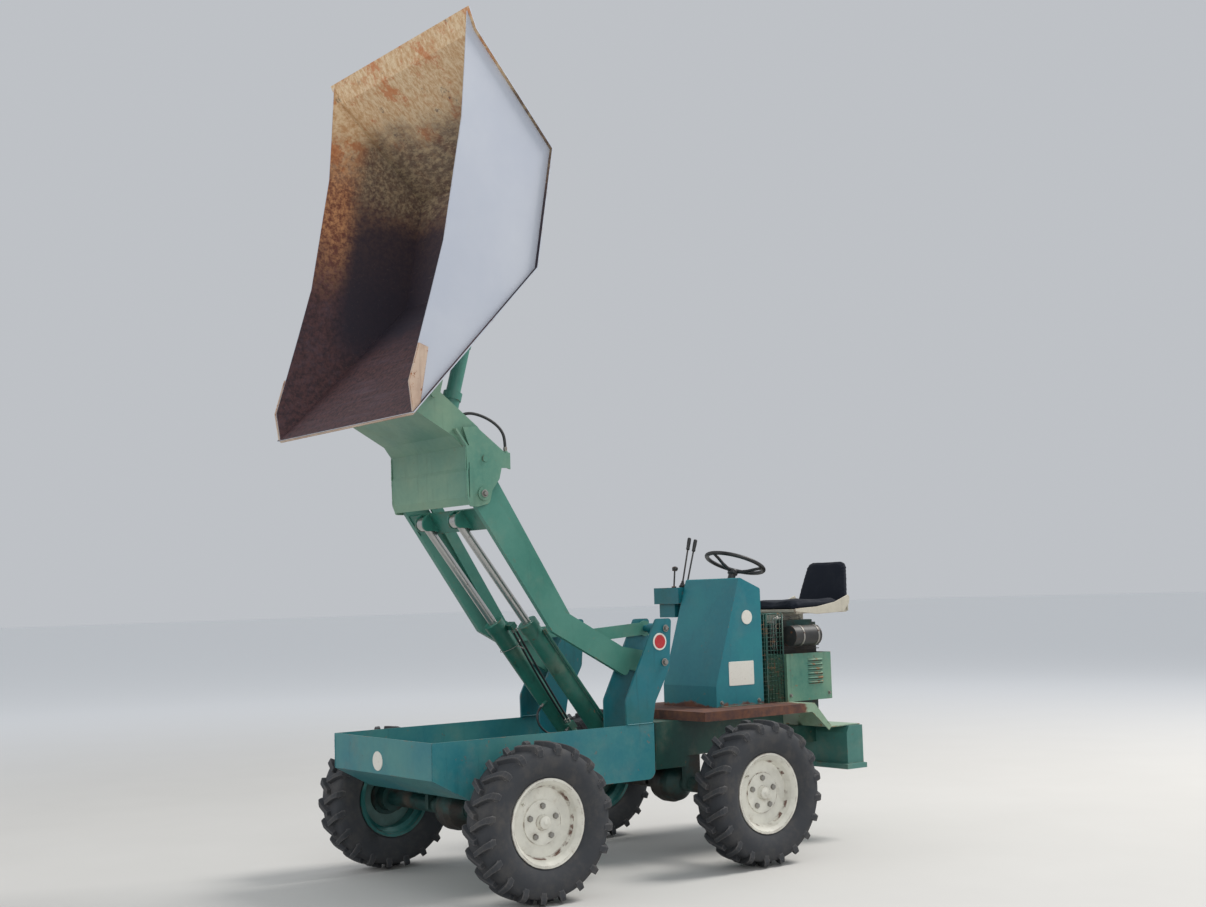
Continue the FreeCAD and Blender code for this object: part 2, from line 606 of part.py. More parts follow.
# Skip's rim from the rear lip back to the pouring lip, (run, rise)
SKIP_RIM = [(840.0, 587.0), (600.0, 564.0), (-30.0, 569.0), (-300.0, 600.0), (-743.0, 655.0)]


def skip_tub():
    """Faceted tub: one folded sheet for chute, floor and rear wall, and two flared sides."""
    count = len(SKIP_WRAP)
    inner = []
    for index in range(count):
        here = SKIP_WRAP[index]
        lines = []
        for a, b in ((index - 1, index), (index, index + 1)):
            if 0 <= a and b < count:
                start, end = SKIP_WRAP[a], SKIP_WRAP[b]
                lines.append((along(start, end, 0, SKIP_WALL), along(start, end, 1, SKIP_WALL)))
        if len(lines) == 2:
            inner.append(crossing(*lines))
        elif index == 0:
            inner.append(lines[0][0])
        else:
            start, end = SKIP_WRAP[-2], SKIP_WRAP[-1]
            inner.append(along(end, start, 0, -SKIP_WALL))
    band = [skip_point(*p) for p in SKIP_WRAP] + [skip_point(*p) for p in reversed(inner)]
    full = SKIP_HALF_FLOOR + 200
    wrap = plate(band, -full, full)
    side_profile = [skip_point(*p) for p in SKIP_WRAP + SKIP_RIM]
    side = plate(side_profile, SKIP_HALF_FLOOR - SKIP_WALL, SKIP_HALF_FLOOR)
    angle = math.radians(SKIP_ANGLE)
    hinge_axis = V(0, math.cos(angle), math.sin(angle))
    pivot = V(SKIP_HALF_FLOOR, *skip_point(0, 0))
    side.rotate(pivot, hinge_axis, SKIP_SIDE_FLARE)
    trim = block(-1400, SKIP_HALF_FLOOR + SKIP_FLANGE, -4000, 4000, -1000, 6000)
    trim.rotate(V(SKIP_HALF_FLOOR + SKIP_FLANGE, *skip_point(0, 0)), hinge_axis, SKIP_SIDE_FLARE)
    wrap = wrap.common(trim).common(across(trim))
    return fuse([wrap, side, across(side)])


def skip_lugs():
    """Hinge lugs under the chute and the bracket for the tipping cylinder."""
    y, z = TIP_PIVOT
    x1 = BRACKET_HALF_WIDTH - SHEET - SIDE_GAP
    chute = SKIP_WRAP[0]
    high = skip_point(chute[0] * 0.40, chute[1] * 0.40)
    low = skip_point(chute[0] * 0.66, chute[1] * 0.66)
    eye = TIP_EYE_RADIUS
    hinge = plate([high, low, (y - eye, z + eye * 0.3, 20), (y - eye * 0.6, z - eye, 24), (y + eye, z - eye, 30)],
                  x1 - 14, x1)
    hinge = hinge.cut(rod((0, y, z), (600, y, z), TIP_PIN_RADIUS + PIN_GAP))
    gap = TIP_EYE_WIDTH / 2 + SIDE_GAP
    y, z = TIP_TOP
    eye = TIP_EYE_RADIUS_TOP + 4
    top = plate([skip_point(0, 0), (y - eye * 0.6, z - eye, 24), (y + eye, z - eye * 0.6, 24),
                 (y + eye, z + eye, 30), skip_point(150, 0)], gap, gap + LUG_WALL)
    return Part.makeCompound([hinge, across(hinge), top, across(top)])


def tip_barrel():
    """Outer barrel of the tipping cylinder."""
    return cylinder_barrel(TIP_ANCHOR, TIP_TOP, 0, TIP_BARREL_LENGTH, TIP_BARREL_RADIUS,
                           TIP_BARREL_RADIUS * 2 - 4, TIP_PIN_RADIUS, TIP_EYE_RADIUS_BASE, TIP_STAGE_RADIUS,
                           TIP_STAGE_STROKE)


def tip_stage():
    """Middle tube of the tipping cylinder, drawn out of the barrel by its stroke."""
    length = TIP_BARREL_LENGTH + TIP_STAGE_STROKE + TIP_COLLAR
    foot = along(TIP_ANCHOR, TIP_TOP, TIP_BARREL_LENGTH - ROD_OVERLAP)
    neck = along(TIP_ANCHOR, TIP_TOP, length - TIP_COLLAR)
    top = along(TIP_ANCHOR, TIP_TOP, length)
    deep = along(TIP_ANCHOR, TIP_TOP, length - ROD_OVERLAP - TIP_STAGE_STROKE - ROD_SPARE)
    mouth = along(TIP_ANCHOR, TIP_TOP, length + 1)
    tube = fuse([rod((0, *foot), (0, *top), TIP_STAGE_RADIUS), rod((0, *neck), (0, *top), TIP_STAGE_RADIUS + 4)])
    return tube.cut(rod((0, *deep), (0, *mouth), TIP_ROD_RADIUS + PIN_GAP))


def tip_rod():
    """Rod of the tipping cylinder."""
    length = TIP_BARREL_LENGTH + TIP_STAGE_STROKE + TIP_COLLAR
    return cylinder_rod(TIP_ANCHOR, TIP_TOP, 0, length, TIP_ROD_RADIUS, TIP_EYE_WIDTH, TIP_EYE_RADIUS_TOP)


def deck():
    """Folded platform over the rear axle, stepping down at the back."""
    skirt = DECK_TOP - DECK_SKIRT
    top = plate([
        (DECK_FRONT, DECK_TOP - DECK_WALL), (DECK_FRONT, DECK_TOP), (DECK_BREAK, DECK_TOP),
        (DECK_STEP_FRONT, DECK_STEP_TOP), (BUMPER_FRONT + BUMPER_DEPTH, DECK_STEP_TOP),
        (BUMPER_FRONT + BUMPER_DEPTH, DECK_STEP_TOP - DECK_WALL), (DECK_STEP_FRONT - 4, DECK_STEP_TOP - DECK_WALL),
        (DECK_BREAK - 4, DECK_TOP - DECK_WALL),
    ], -DECK_HALF_WIDTH, DECK_HALF_WIDTH)
    edge = plate([
        (DECK_FRONT, skirt), (DECK_FRONT, DECK_TOP), (DECK_BREAK, DECK_TOP), (DECK_STEP_FRONT, DECK_STEP_TOP),
        (DECK_STEP_FRONT - 20, DECK_STEP_TOP - 20), (DECK_BREAK - 20, skirt),
    ], DECK_HALF_WIDTH - DECK_WALL, DECK_HALF_WIDTH)
    front = block(-DECK_HALF_WIDTH, DECK_HALF_WIDTH, DECK_FRONT, DECK_FRONT + DECK_WALL, skirt, DECK_TOP)
    return fuse([top, edge, across(edge), front])


def rear_bumper():
    """Counterweight beam across the rear with a lip along its foot."""
    rear = BUMPER_FRONT + BUMPER_DEPTH
    beam = plate([
        (BUMPER_FRONT, BUMPER_LOW), (BUMPER_FRONT, BUMPER_HIGH), (BUMPER_FRONT + 18, DECK_STEP_TOP - DECK_WALL), (rear, DECK_STEP_TOP - DECK_WALL), (rear, BUMPER_LOW),
    ], -BUMPER_HALF_WIDTH, BUMPER_HALF_WIDTH)
    lip = block(-BUMPER_HALF_WIDTH - 26, BUMPER_HALF_WIDTH + 26, BUMPER_FRONT - 30, rear,
                BUMPER_LOW - BUMPER_LIP, BUMPER_LOW)
    pieces = [beam, lip]
    for z in TOW_PLATES:
        pieces.append(block(-TOW_HALF_WIDTH, TOW_HALF_WIDTH, rear, rear + TOW_REACH, z, z + TOW_WALL))
    hole = Part.makeCylinder(TOW_HOLE_RADIUS, BUMPER_HIGH, V(0, rear + TOW_HOLE_REACH, BUMPER_LOW))
    return fuse(pieces).cut(hole)


def console_body():
    """Outside of the tapered dashboard housing, as a solid."""
    return plate([
        (CONSOLE_FRONT, DECK_TOP), (CONSOLE_FRONT, CONSOLE_KNEE), (CONSOLE_TOP_FRONT, CONSOLE_HIGH, 14),
        (CONSOLE_REAR, CONSOLE_LOW_TOP, 14), (CONSOLE_REAR, DECK_TOP),
    ], -CONSOLE_HALF_WIDTH, CONSOLE_HALF_WIDTH)


def console():
    """Dashboard housing folded from sheet, open below."""
    wall = CONSOLE_WALL
    wide = CONSOLE_HALF_WIDTH
    inside = plate([
        (CONSOLE_FRONT + wall, DECK_TOP - 1), (CONSOLE_FRONT + wall, CONSOLE_KNEE),
        (CONSOLE_TOP_FRONT + wall, CONSOLE_HIGH - wall * 2), (CONSOLE_REAR - wall, CONSOLE_LOW_TOP - wall),
        (CONSOLE_REAR - wall, DECK_TOP - 1),
    ], wall - wide, wide - wall)
    return console_body().cut(inside)


def valve_block():
    """Valve box on the console's right side with its fittings below."""
    x0, x1, y0, y1, z0, z1 = VALVE_BLOCK
    box = block(x0, x1, y0, y1, z0, z1)
    fitting = block(x0 + 25, x1 - 60, y0 + 20, y1 - 30, z0 - 80, z0)
    strut = block(x1 - 10, -CONSOLE_HALF_WIDTH, y0 + 30, y1 - 20, z0 + 10, z1 - 20)
    return fuse([box, fitting, strut])


# Levers on the valve box: x, foot y, top y, top z, knob radius, knob length
LEVERS = [
    (-300.0, 1085.0, 1158.0, 1762.0, 9.0, 60.0),
    (-270.0, 1095.0, 1180.0, 1750.0, 9.0, 60.0),
    (-330.0, 1048.0, 1060.0, 1588.0, 15.0, 22.0),
]


def levers():
    """Control levers with grips."""
    pieces = []
    for x, foot_y, top_y, top_z, knob, length in LEVERS:
        foot = (foot_y, VALVE_BLOCK[5])
        top = (top_y, top_z)
        reach = math.hypot(top[0] - foot[0], top[1] - foot[1])
        grip = along(foot, top, reach - length)
        stick = rod((x, *foot), (x, *top), 5.0)
        pieces.append(fuse([stick, rod((x, *grip), (x, *top), knob), Part.makeCylinder(14, 8, V(x, *foot))]))
    return Part.makeCompound(pieces).cut(valve_block())


def steer_axis():
    """Unit direction of the steering shaft, up towards the driver."""
    tilt = math.radians(STEER_TILT)
    return V(0, math.sin(tilt), math.cos(tilt))


def steering_column():
    """Short column out of the console's top."""
    axis = steer_axis()
    hub = V(0, *STEER_CENTRE).sub(axis * (STEER_DISH + 12))
    foot = hub.sub(axis * STEER_COLUMN_LENGTH)
    tube = Part.makeCylinder(STEER_SHAFT_RADIUS + 6, STEER_COLUMN_LENGTH - WHEEL_GAP, foot, axis)
    return tube.cut(console_body())


def steering_wheel():
    """Rim, three dished spokes and hub."""
    axis = steer_axis()
    centre = V(0, *STEER_CENTRE)
    ring = Part.makeTorus(STEER_RADIUS - STEER_RIM, STEER_RIM, centre, axis)
    hub_foot = centre.sub(axis * (STEER_DISH + 12))
    hub = Part.makeCylinder(STEER_HUB_RADIUS, 34, hub_foot, axis)
    pieces = [ring, hub]
    level = V(1, 0, 0)
    for index in range(3):
        turn = FreeCAD.Rotation(axis, 90 + 120 * index)
        outward = turn.multVec(level)
        start = hub_foot.add(axis * 20).add(outward * 12)
        end = centre.add(outward * (STEER_RADIUS - STEER_RIM))
        pieces.append(rod(tuple(start), tuple(end), 9.0))
    return fuse(pieces)


def engine_block():
    """Engine under the seat, as one plain block."""
    x0, x1, y0, y1, top = ENGINE_BOX
    foot = block(x0, x1, DECK_STEP_FRONT + 8, y1, DECK_STEP_TOP, DECK_TOP)
    return fuse([block(x0, x1, y0, y1, DECK_TOP, top), foot])


def engine_cover():
    """Sheet cover round the engine's lower half, open at the top, with louvres."""
    x0, x1, y0, y1, top = COVER_BOX
    outer = block(x0, x1, y0, y1, DECK_TOP, top)
    inner = block(x0 + COVER_WALL, x1 - COVER_WALL, y0 + COVER_WALL, y1 - COVER_WALL, DECK_TOP, top)
    shell = outer.cut(inner)
    for index in range(6):
        z = DECK_TOP + 95 + index * 26
        shell = shell.cut(block(x1 - 20, x1 + 20, y1 - 190, y1 - 70, z, z + 12))
    return shell


def engine_guard():
    """Mesh guard between console and engine, as a flat plate in a frame."""
    return block(-CONSOLE_HALF_WIDTH + 6, CONSOLE_HALF_WIDTH - 6, GUARD_FRONT, GUARD_FRONT + 8, DECK_TOP,
                 GUARD_HIGH)


def air_filter():
    """Air filter drum on the engine's left shoulder."""
    x = ENGINE_BOX[1] + AIR_FILTER_RADIUS
    return rod((x, AIR_FILTER[0], AIR_FILTER[2]), (x, AIR_FILTER[1], AIR_FILTER[2]), AIR_FILTER_RADIUS)


def seat_base():
    """Seat pan on its pedestal over the engine."""
    x0, x1, y0, y1, top = ENGINE_BOX
    pan = block(-SEAT_HALF_WIDTH + 10, SEAT_HALF_WIDTH - 10, SEAT_FRONT + 20, SEAT_REAR, SEAT_BASE - 26, SEAT_BASE)
    post = block(-90, 90, y0 + 60, y1 - 20, top, SEAT_BASE - 26)
    return fuse([pan, post])


def seat_squab():
    """Seat cushion."""
    return block(-SEAT_HALF_WIDTH, SEAT_HALF_WIDTH, SEAT_FRONT, SEAT_REAR - 24, SEAT_BASE + WHEEL_GAP,
                 SEAT_BASE + SEAT_THICKNESS)


def seat_back():
    """Backrest, narrower at the top and leaning back."""
    return plate([
        (SEAT_REAR - 20, SEAT_BASE + WHEEL_GAP), (SEAT_REAR + 54, SEAT_TOP, 14), (SEAT_REAR + 94, SEAT_TOP, 14),
        (SEAT_REAR + 24, SEAT_BASE + WHEEL_GAP),
    ], -SEAT_HALF_WIDTH + 10, SEAT_HALF_WIDTH - 10)


def build():
    """All nodes by name."""
    nodes = {
        "tray": tray(),
        "front_yoke": front_yoke(),
        "front_axle": axle(FRONT_AXLE_Y, TRAY_FLOOR, FRONT_SADDLE_HALF_SPAN),
        "rear_axle": axle(REAR_AXLE_Y, RAIL_LOW, FRAME_HALF_WIDTH - RAIL_WIDTH / 2),
        "cylinder_anchor": rod((-TRAY_HALF_WIDTH + TRAY_WALL, *LIFT_ANCHOR),
                               (TRAY_HALF_WIDTH - TRAY_WALL, *LIFT_ANCHOR), ANCHOR_RADIUS),
        "columns": both(column()),
        "boom_arms": both(boom_arm()),
        "boom_cross_plate": boom_cross_plate(),
        "levelling_links": both(levelling_link()),
        "lift_barrels": both(lift_barrel()),
        "lift_rods": both(lift_rod()),
        "head_box": head_box(),
        "tip_barrel": tip_barrel(),
        "tip_stage": tip_stage(),
        "tip_rod": tip_rod(),
        "skip_tub": skip_tub(),
        "skip_lugs": skip_lugs(),
        "rear_frame": rear_frame(),
        "transmission": block(*TRANSMISSION_BOX),
        "deck": deck(),
        "rear_bumper": rear_bumper(),
        "console": console(),
        "valve_block": valve_block(),
        "levers": levers(),
        "steering_column": steering_column(),
        "steering_wheel": steering_wheel(),
        "engine_block": engine_block(),
        "engine_cover": engine_cover(),
        "engine_guard": engine_guard(),
        "air_filter": air_filter(),
        "seat_base": seat_base(),
        "seat_squab": seat_squab(),
        "seat_back": seat_back(),
    }
    for side, word in SIDES:
        for y, end in ((FRONT_AXLE_Y, "front"), (REAR_AXLE_Y, "rear")):
            nodes["rim_" + end + "_" + word] = place_wheel(wheel_rim(), side, y)
            nodes["tyre_" + end + "_" + word] = place_wheel(wheel_tyre(), side, y)
    return nodes


def export(nodes):
    """Move the origin to the footprint's centre and write one file per node."""
    os.makedirs("parts", exist_ok=True)
    low = min(shape.BoundBox.YMin for shape in nodes.values())
    high = max(shape.BoundBox.YMax for shape in nodes.values())
    shift = -(low + high) / 2
    print("moved by", round(shift, 3), "mm along Y")
    for name in sorted(nodes):
        shape = nodes[name]
        shape.translate(V(0, shift, 0))
        box = shape.BoundBox
        print(name, "solids", len(shape.Solids), "valid", shape.isValid(), "volume", round(shape.Volume / 1e6, 3),
              [round(v) for v in (box.XMin, box.XMax, box.YMin, box.YMax, box.ZMin, box.ZMax)])
        shape.exportStep("parts/" + name + ".step")


export(build())
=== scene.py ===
import math
import random

import bmesh
import bpy
from mathutils import Matrix, Vector

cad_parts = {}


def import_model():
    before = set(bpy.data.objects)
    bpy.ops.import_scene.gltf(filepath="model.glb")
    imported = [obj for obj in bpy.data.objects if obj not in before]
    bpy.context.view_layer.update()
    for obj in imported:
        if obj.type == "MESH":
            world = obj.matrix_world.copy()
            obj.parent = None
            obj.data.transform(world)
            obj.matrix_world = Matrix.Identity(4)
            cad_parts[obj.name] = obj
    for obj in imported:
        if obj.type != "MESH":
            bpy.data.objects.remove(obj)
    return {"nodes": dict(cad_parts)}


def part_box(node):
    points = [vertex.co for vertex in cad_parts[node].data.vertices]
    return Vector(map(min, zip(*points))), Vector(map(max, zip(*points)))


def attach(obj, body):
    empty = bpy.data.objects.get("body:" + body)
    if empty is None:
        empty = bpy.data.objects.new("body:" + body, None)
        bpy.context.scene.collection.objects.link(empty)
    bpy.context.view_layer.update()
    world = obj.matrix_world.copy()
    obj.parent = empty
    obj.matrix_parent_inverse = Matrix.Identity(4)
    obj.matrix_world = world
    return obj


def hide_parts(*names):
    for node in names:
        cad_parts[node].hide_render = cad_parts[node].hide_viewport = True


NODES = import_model()["nodes"]
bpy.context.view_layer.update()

# The camera of the photograph, fitted to the wheels: place, line of sight, roll and lens
PHOTO_WIDTH = 1206
FOCAL_PIXELS = 1563.3
CAMERA_PLACE = (6.884, -5.324, 1.429)
CAMERA_AZIMUTH = math.radians(52.55)
CAMERA_PITCH = math.radians(5.205)
CAMERA_ROLL = math.radians(1.655)

# Paint and material colours, linear RGB
TEAL = (0.002, 0.135, 0.175)
TEAL_SUNNY = (0.010, 0.190, 0.205)
TEAL_DEEP = (0.004, 0.095, 0.090)
TEAL_PALE = (0.055, 0.205, 0.195)
GREEN = (0.022, 0.150, 0.114)
GREEN_PALE = (0.066, 0.212, 0.165)
GREEN_DARK = (0.012, 0.085, 0.060)
SAGE = (0.180, 0.290, 0.195)
SAGE_PALE = (0.300, 0.410, 0.300)
CREAM = (0.700, 0.685, 0.610)
# The skip's whites are greyed to lavender: painted shade
SHADED_WHITE_PAINT = (0.410, 0.440, 0.510)
SHADED_WHITE_CHALKY = (0.470, 0.495, 0.550)
RUST_ORANGE = (0.330, 0.115, 0.030)
RUST_BROWN = (0.100, 0.036, 0.020)
RUST_DARK = (0.022, 0.014, 0.012)
DUST = (0.300, 0.240, 0.170)
BLACK = (0.012, 0.012, 0.013)
RUBBER = (0.032, 0.035, 0.041)
STEEL = (0.420, 0.420, 0.410)
BEIGE = (0.420, 0.320, 0.210)
OIL = (0.020, 0.018, 0.015)


def shade(color, factor, lift=0.0):
    return tuple(c * factor + lift for c in color)


class Graph:
    """A material's node tree, with short ways to add and join nodes."""

    def __init__(self, name, metallic=0.0):
        self.material = bpy.data.materials.new(name)
        self.material.use_nodes = True
        self.tree = self.material.node_tree
        self.tree.nodes.clear()
        self.shader = self.node("BsdfPrincipled", {"Metallic": metallic})
        self.node("OutputMaterial", {"Surface": self.shader.outputs["BSDF"]})
        self.coords = self.node("TexCoord").outputs

    def node(self, kind, inputs=None, **settings):
        """New node with its settings made and its inputs, by name or number, fed."""
        node = self.tree.nodes.new("ShaderNode" + kind)
        for key, value in settings.items():
            setattr(node, key, value)
        for key, value in (inputs or {}).items():
            self.feed(value, node.inputs[key])
        return node

    def feed(self, value, socket):
        """Link a socket, or set a number, vector or colour."""
        if isinstance(value, bpy.types.NodeSocket):
            self.tree.links.new(value, socket)
        elif hasattr(value, "__len__") and len(value) == 3 and len(socket.default_value) == 4:
            socket.default_value = (*value, 1.0)
        else:
            socket.default_value = value

    def noise(self, scale, detail=4.0, roughness=0.6, stretch=(1, 1, 1), offset=(0, 0, 0)):
        inputs = {"Vector": self.coords["Object"], "Scale": stretch, "Location": offset}
        place = self.node("Mapping", inputs).outputs["Vector"]
        inputs = {"Vector": place, "Scale": scale, "Detail": detail, "Roughness": roughness}
        return self.node("TexNoise", inputs).outputs["Fac"]

    def band(self, value, low, high, smooth=True):
        """0 below low, 1 above high."""
        inputs = {"Value": value, "From Min": low, "From Max": high}
        kind = "SMOOTHSTEP" if smooth else "LINEAR"
        return self.node("MapRange", inputs, interpolation_type=kind).outputs["Result"]

    def math(self, operation, a, b=0.0):
        clamp = operation in ("ADD", "MULTIPLY", "SUBTRACT")
        return self.node("Math", {0: a, 1: b}, operation=operation, use_clamp=clamp).outputs[0]

    def times(self, a, b):
        return self.math("MULTIPLY", a, b)

    def plus(self, a, b):
        return self.math("ADD", a, b)

    def rest(self, share):
        """What a share leaves of 1."""
        return self.math("SUBTRACT", 1.0, share)

    def vector(self, operation, *values):
        """Outputs of a vector operation."""
        return self.node("VectorMath", dict(enumerate(values)), operation=operation).outputs

    def mix(self, share, a, b):
        return self.node("Mix", {"Factor": share, "A": a, "B": b}, data_type="RGBA").outputs["Result"]

    def mottle(self, a, b, low, high, *noise, amount=None, **more):
        """Colour a, with b where a noise rises from low to high; amount is the most that b covers."""
        share = self.band(self.noise(*noise, **more), low, high)
        return self.mix(share if amount is None else self.times(share, amount), a, b)

    def axis(self, output, index):
        """One component of a coordinate output such as Object or Normal."""
        return self.node("SeparateXYZ", {0: self.coords[output]}).outputs[index]

    def edges(self, radius=0.006):
        """1 on sharp edges, 0 on flat faces."""
        rounded = self.node("Bevel", {"Radius": radius}, samples=4).outputs["Normal"]
        flat = self.node("NewGeometry").outputs["Normal"]
        return self.band(self.rest(self.vector("DOT_PRODUCT", rounded, flat)["Value"]), 0.02, 0.14)

    def finish(self, color, roughness, bump=None, strength=0.2, distance=0.002):
        self.feed(color, self.shader.inputs["Base Color"])
        self.feed(roughness, self.shader.inputs["Roughness"])
        if bump is not None:
            relief = self.node("Bump", {"Strength": strength, "Distance": distance, "Height": bump})
            self.feed(relief.outputs["Normal"], self.shader.inputs["Normal"])
        return self.material


def worn_paint(name, deep, pale, fade, rust, streaks=0.35, dirt=0.25, roughness=0.45, rusty_span=None):
    """Old paint: sun-bleached in patches, paler on top as painted light from above, streaked, chipped to rust
    at the edges.

    rusty_span is (axis, start, end): paint is gone at start and whole at end.
    """
    g = Graph(name)
    patches = g.band(g.noise(2.3, 5, 0.55), 0.5 - fade * 0.45, 1.0 - fade * 0.45)
    # Upward faces are painted paler: painted light from above
    up = g.band(g.axis("Normal", 2), 0.2, 0.95)
    color = g.mix(g.plus(patches, g.times(up, 0.45)), deep, pale)
    color = g.mottle(color, shade(pale, 1.3, 0.01), 0.3, 0.75, 38, 6, 0.7, offset=(5, 2, 1), amount=0.16)
    color = g.mottle(color, shade(deep, 0.42), 0.56, 0.74, 11, 5, stretch=(3.2, 3.2, 0.22), amount=streaks)
    dusty = g.band(g.noise(5, 7, 0.65, offset=(9, 4, 2)), 0.48, 0.8)
    color = g.mix(g.times(dusty, dirt), color, DUST)
    chips = g.band(g.noise(26, 8, 0.7, offset=(1, 8, 3)), 0.66 - rust * 0.08, 0.70 - rust * 0.08)
    edge = g.times(g.edges(), g.band(g.noise(14, 6, 0.7), 0.60 - rust * 0.25, 0.68 - rust * 0.2))
    rusty = g.math("MAXIMUM", g.times(chips, min(1.0, rust * 1.6)), edge)
    if rusty_span:
        axis, start, end = rusty_span
        near = g.band(g.axis("Object", axis), end, start, smooth=False)
        gone = g.band(g.plus(g.times(near, 0.62), g.times(g.noise(7, 8, 0.7), 0.55)), 0.58, 0.66)
        rusty = g.math("MAXIMUM", rusty, gone)
    rust_tint = g.mottle(RUST_BROWN, RUST_ORANGE, 0.35, 0.65, 22, 8)
    rust_tint = g.mottle(rust_tint, RUST_DARK, 0.52, 0.72, 9, 6, offset=(3, 1, 7))
    color = g.mix(rusty, color, rust_tint)
    if rusty_span:
        color = g.mix(g.times(gone, 0.72), color, (0.075, 0.036, 0.032))
    rough = g.plus(g.times(rusty, 0.35), g.plus(roughness, g.times(dusty, 0.2)))
    bump = g.math("SUBTRACT", g.times(g.noise(55, 5), 0.25), g.times(rusty, 0.35))
    return g.finish(color, rough, bump, 0.25, 0.0015)


# Distance from the middle of the wheelbase, where the source measures, to the row frame
ROW_SHIFT = -0.340777


def at(x, y, z):
    """Point measured from the middle of the wheelbase."""
    return Vector((x, y + ROW_SHIFT, z))


# The skip's own frame: floor's front corner, its turn in the photograph, the sides' flare and half its width
SKIP_CORNER = at(0.0, -0.581, 3.055)
SKIP_ANGLE = math.radians(79.9)
SKIP_RUN = Vector((0.0, math.cos(SKIP_ANGLE), math.sin(SKIP_ANGLE)))
SKIP_RISE = Vector((0.0, -math.sin(SKIP_ANGLE), math.cos(SKIP_ANGLE)))
SKIP_FLARE = math.radians(5.5)
SKIP_HALF_FLOOR = 0.630


def skip_paint():
    """White outside, greyed to lavender as painted shade, with rust at the sheet edges; inside worn to rust,
    brown and near black, paler at the rear wall's upper end as painted light.
    """
    g = Graph("skip_paint")
    lower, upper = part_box("skip_tub")
    heart = Vector((0.0, (lower.y + upper.y) / 2 - 0.16, (lower.z + upper.z) / 2 + 0.05))
    to_heart = g.vector("SUBTRACT", heart, g.coords["Object"])["Vector"]
    inside = g.band(g.vector("DOT_PRODUCT", to_heart, g.coords["Normal"])["Value"], -0.01, 0.01)
    # Outside white, greyed to lavender as painted shade
    outside = g.mottle(SHADED_WHITE_PAINT, SHADED_WHITE_CHALKY, 0.3, 0.8, 1.6, 4)
    outside = g.mottle(outside, BEIGE, 0.62, 0.85, 7, 6, 0.7, stretch=(2, 2, 0.3), amount=0.25)
    outside = g.mottle(outside, RUST_BROWN, 0.71, 0.74, 48, 6, 0.75, offset=(2, 2, 9), amount=0.8)
    worn = g.times(g.edges(0.005), g.band(g.noise(9, 7, 0.75), 0.50, 0.64))
    outside = g.mix(worn, outside, g.mottle(RUST_BROWN, BEIGE, 0.4, 0.6, 30, 5))
    # Shares of the way from the pouring lip to the rear wall's lip, and from the floor to the rim
    from_corner = g.vector("SUBTRACT", g.coords["Object"], SKIP_CORNER)["Vector"]
    shares = []
    for axis, low, high in ((SKIP_RUN, -0.90, 1.20), (SKIP_RISE, 0.0, 0.66)):
        share = g.band(g.vector("DOT_PRODUCT", from_corner, axis)["Value"], low, high, smooth=False)
        shares.append(g.plus(g.times(share, 0.85), g.times(g.noise(3.1, 7, 0.62, offset=(4, 0, 2)), 0.15)))
    run, rise = shares
    grain = g.noise(42, 9, 0.75)
    purple = g.mix(g.band(grain, 0.35, 0.62), (0.026, 0.015, 0.021), (0.100, 0.044, 0.046))
    purple = g.mottle(purple, (0.110, 0.075, 0.100), 0.45, 0.75, 7, 6, 0.7, stretch=(0.3, 3, 3), amount=0.45)
    orange = g.mottle((0.170, 0.052, 0.030), (0.560, 0.270, 0.120), 0.42, 0.60, 34, 9, 0.82)
    # Pale tan towards the rear wall's lip: rust colour, made paler as painted light on the lit upper end
    pale = g.mottle((0.52, 0.30, 0.14), (0.72, 0.56, 0.36), 0.40, 0.60, 30, 9, 0.82, stretch=(1.5, 0.7, 0.9))
    pale = g.mottle(pale, (0.500, 0.170, 0.055), 0.52, 0.60, 5, 9, 0.78, offset=(3, 5, 1), amount=0.85)
    pale = g.mottle(pale, (0.080, 0.062, 0.060), 0.58, 0.64, 7, 9, 0.80, offset=(8, 3, 5), amount=0.8)
    scoured_and_lit = g.mix(g.band(run, 0.40, 0.60), purple, orange)
    scoured_and_lit = g.mix(g.band(run, 0.66, 0.80), scoured_and_lit, pale)
    near_floor = g.rest(g.band(rise, 0.50, 0.68))
    veil = g.times(g.times(near_floor, g.rest(g.band(run, 0.74, 0.84))), g.band(run, 0.56, 0.68))
    hazy = g.mottle((0.07, 0.05, 0.045), (0.36, 0.29, 0.18), 0.42, 0.62, 24, 9, 0.82, stretch=(0.7, 1.6, 1.6))
    scoured_and_lit = g.mix(g.times(veil, 0.85), scoured_and_lit, hazy)
    black = g.times(g.times(near_floor, g.rest(g.band(run, 0.58, 0.70))), g.band(run, 0.26, 0.38))
    scoured_and_lit = g.mix(g.times(black, 0.93), scoured_and_lit, (0.022, 0.018, 0.031))
    scoured_and_lit = g.mottle(scoured_and_lit, (0.30, 0.24, 0.19), 0.60, 0.66, 16, 8, 0.8, stretch=(0.35, 6, 6), amount=0.3)
    bump = g.times(g.plus(g.times(inside, 0.8), 0.15), grain)
    return g.finish(g.mix(inside, outside, scoured_and_lit), g.plus(g.times(inside, 0.25), 0.45), bump, 0.35, 0.003)


def rim_paint():
    """Cream paint on the face of the wheels, machine green on their inner side."""
    g = Graph("rim_paint")
    outer_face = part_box("rim_front_left")[1].x
    face = g.band(g.math("ABSOLUTE", g.axis("Object", 0)), outer_face - 0.066, outer_face - 0.062)
    cream = g.mottle(CREAM, shade(CREAM, 0.72), 0.3, 0.75, 6, 6)
    grime = g.band(g.noise(13, 7, 0.7, offset=(1, 1, 1)), 0.52, 0.8)
    cream = g.mix(g.times(grime, 0.6), cream, DUST)
    color = g.mix(face, g.mottle(TEAL_DEEP, TEAL_PALE, 0.35, 0.7, 5, 6), cream)
    color = g.mix(g.times(g.edges(0.008), g.band(g.noise(20, 6), 0.45, 0.6)), color, RUST_BROWN)
    return g.finish(color, g.plus(0.5, g.times(grime, 0.3)), g.noise(60, 4), 0.15, 0.001)


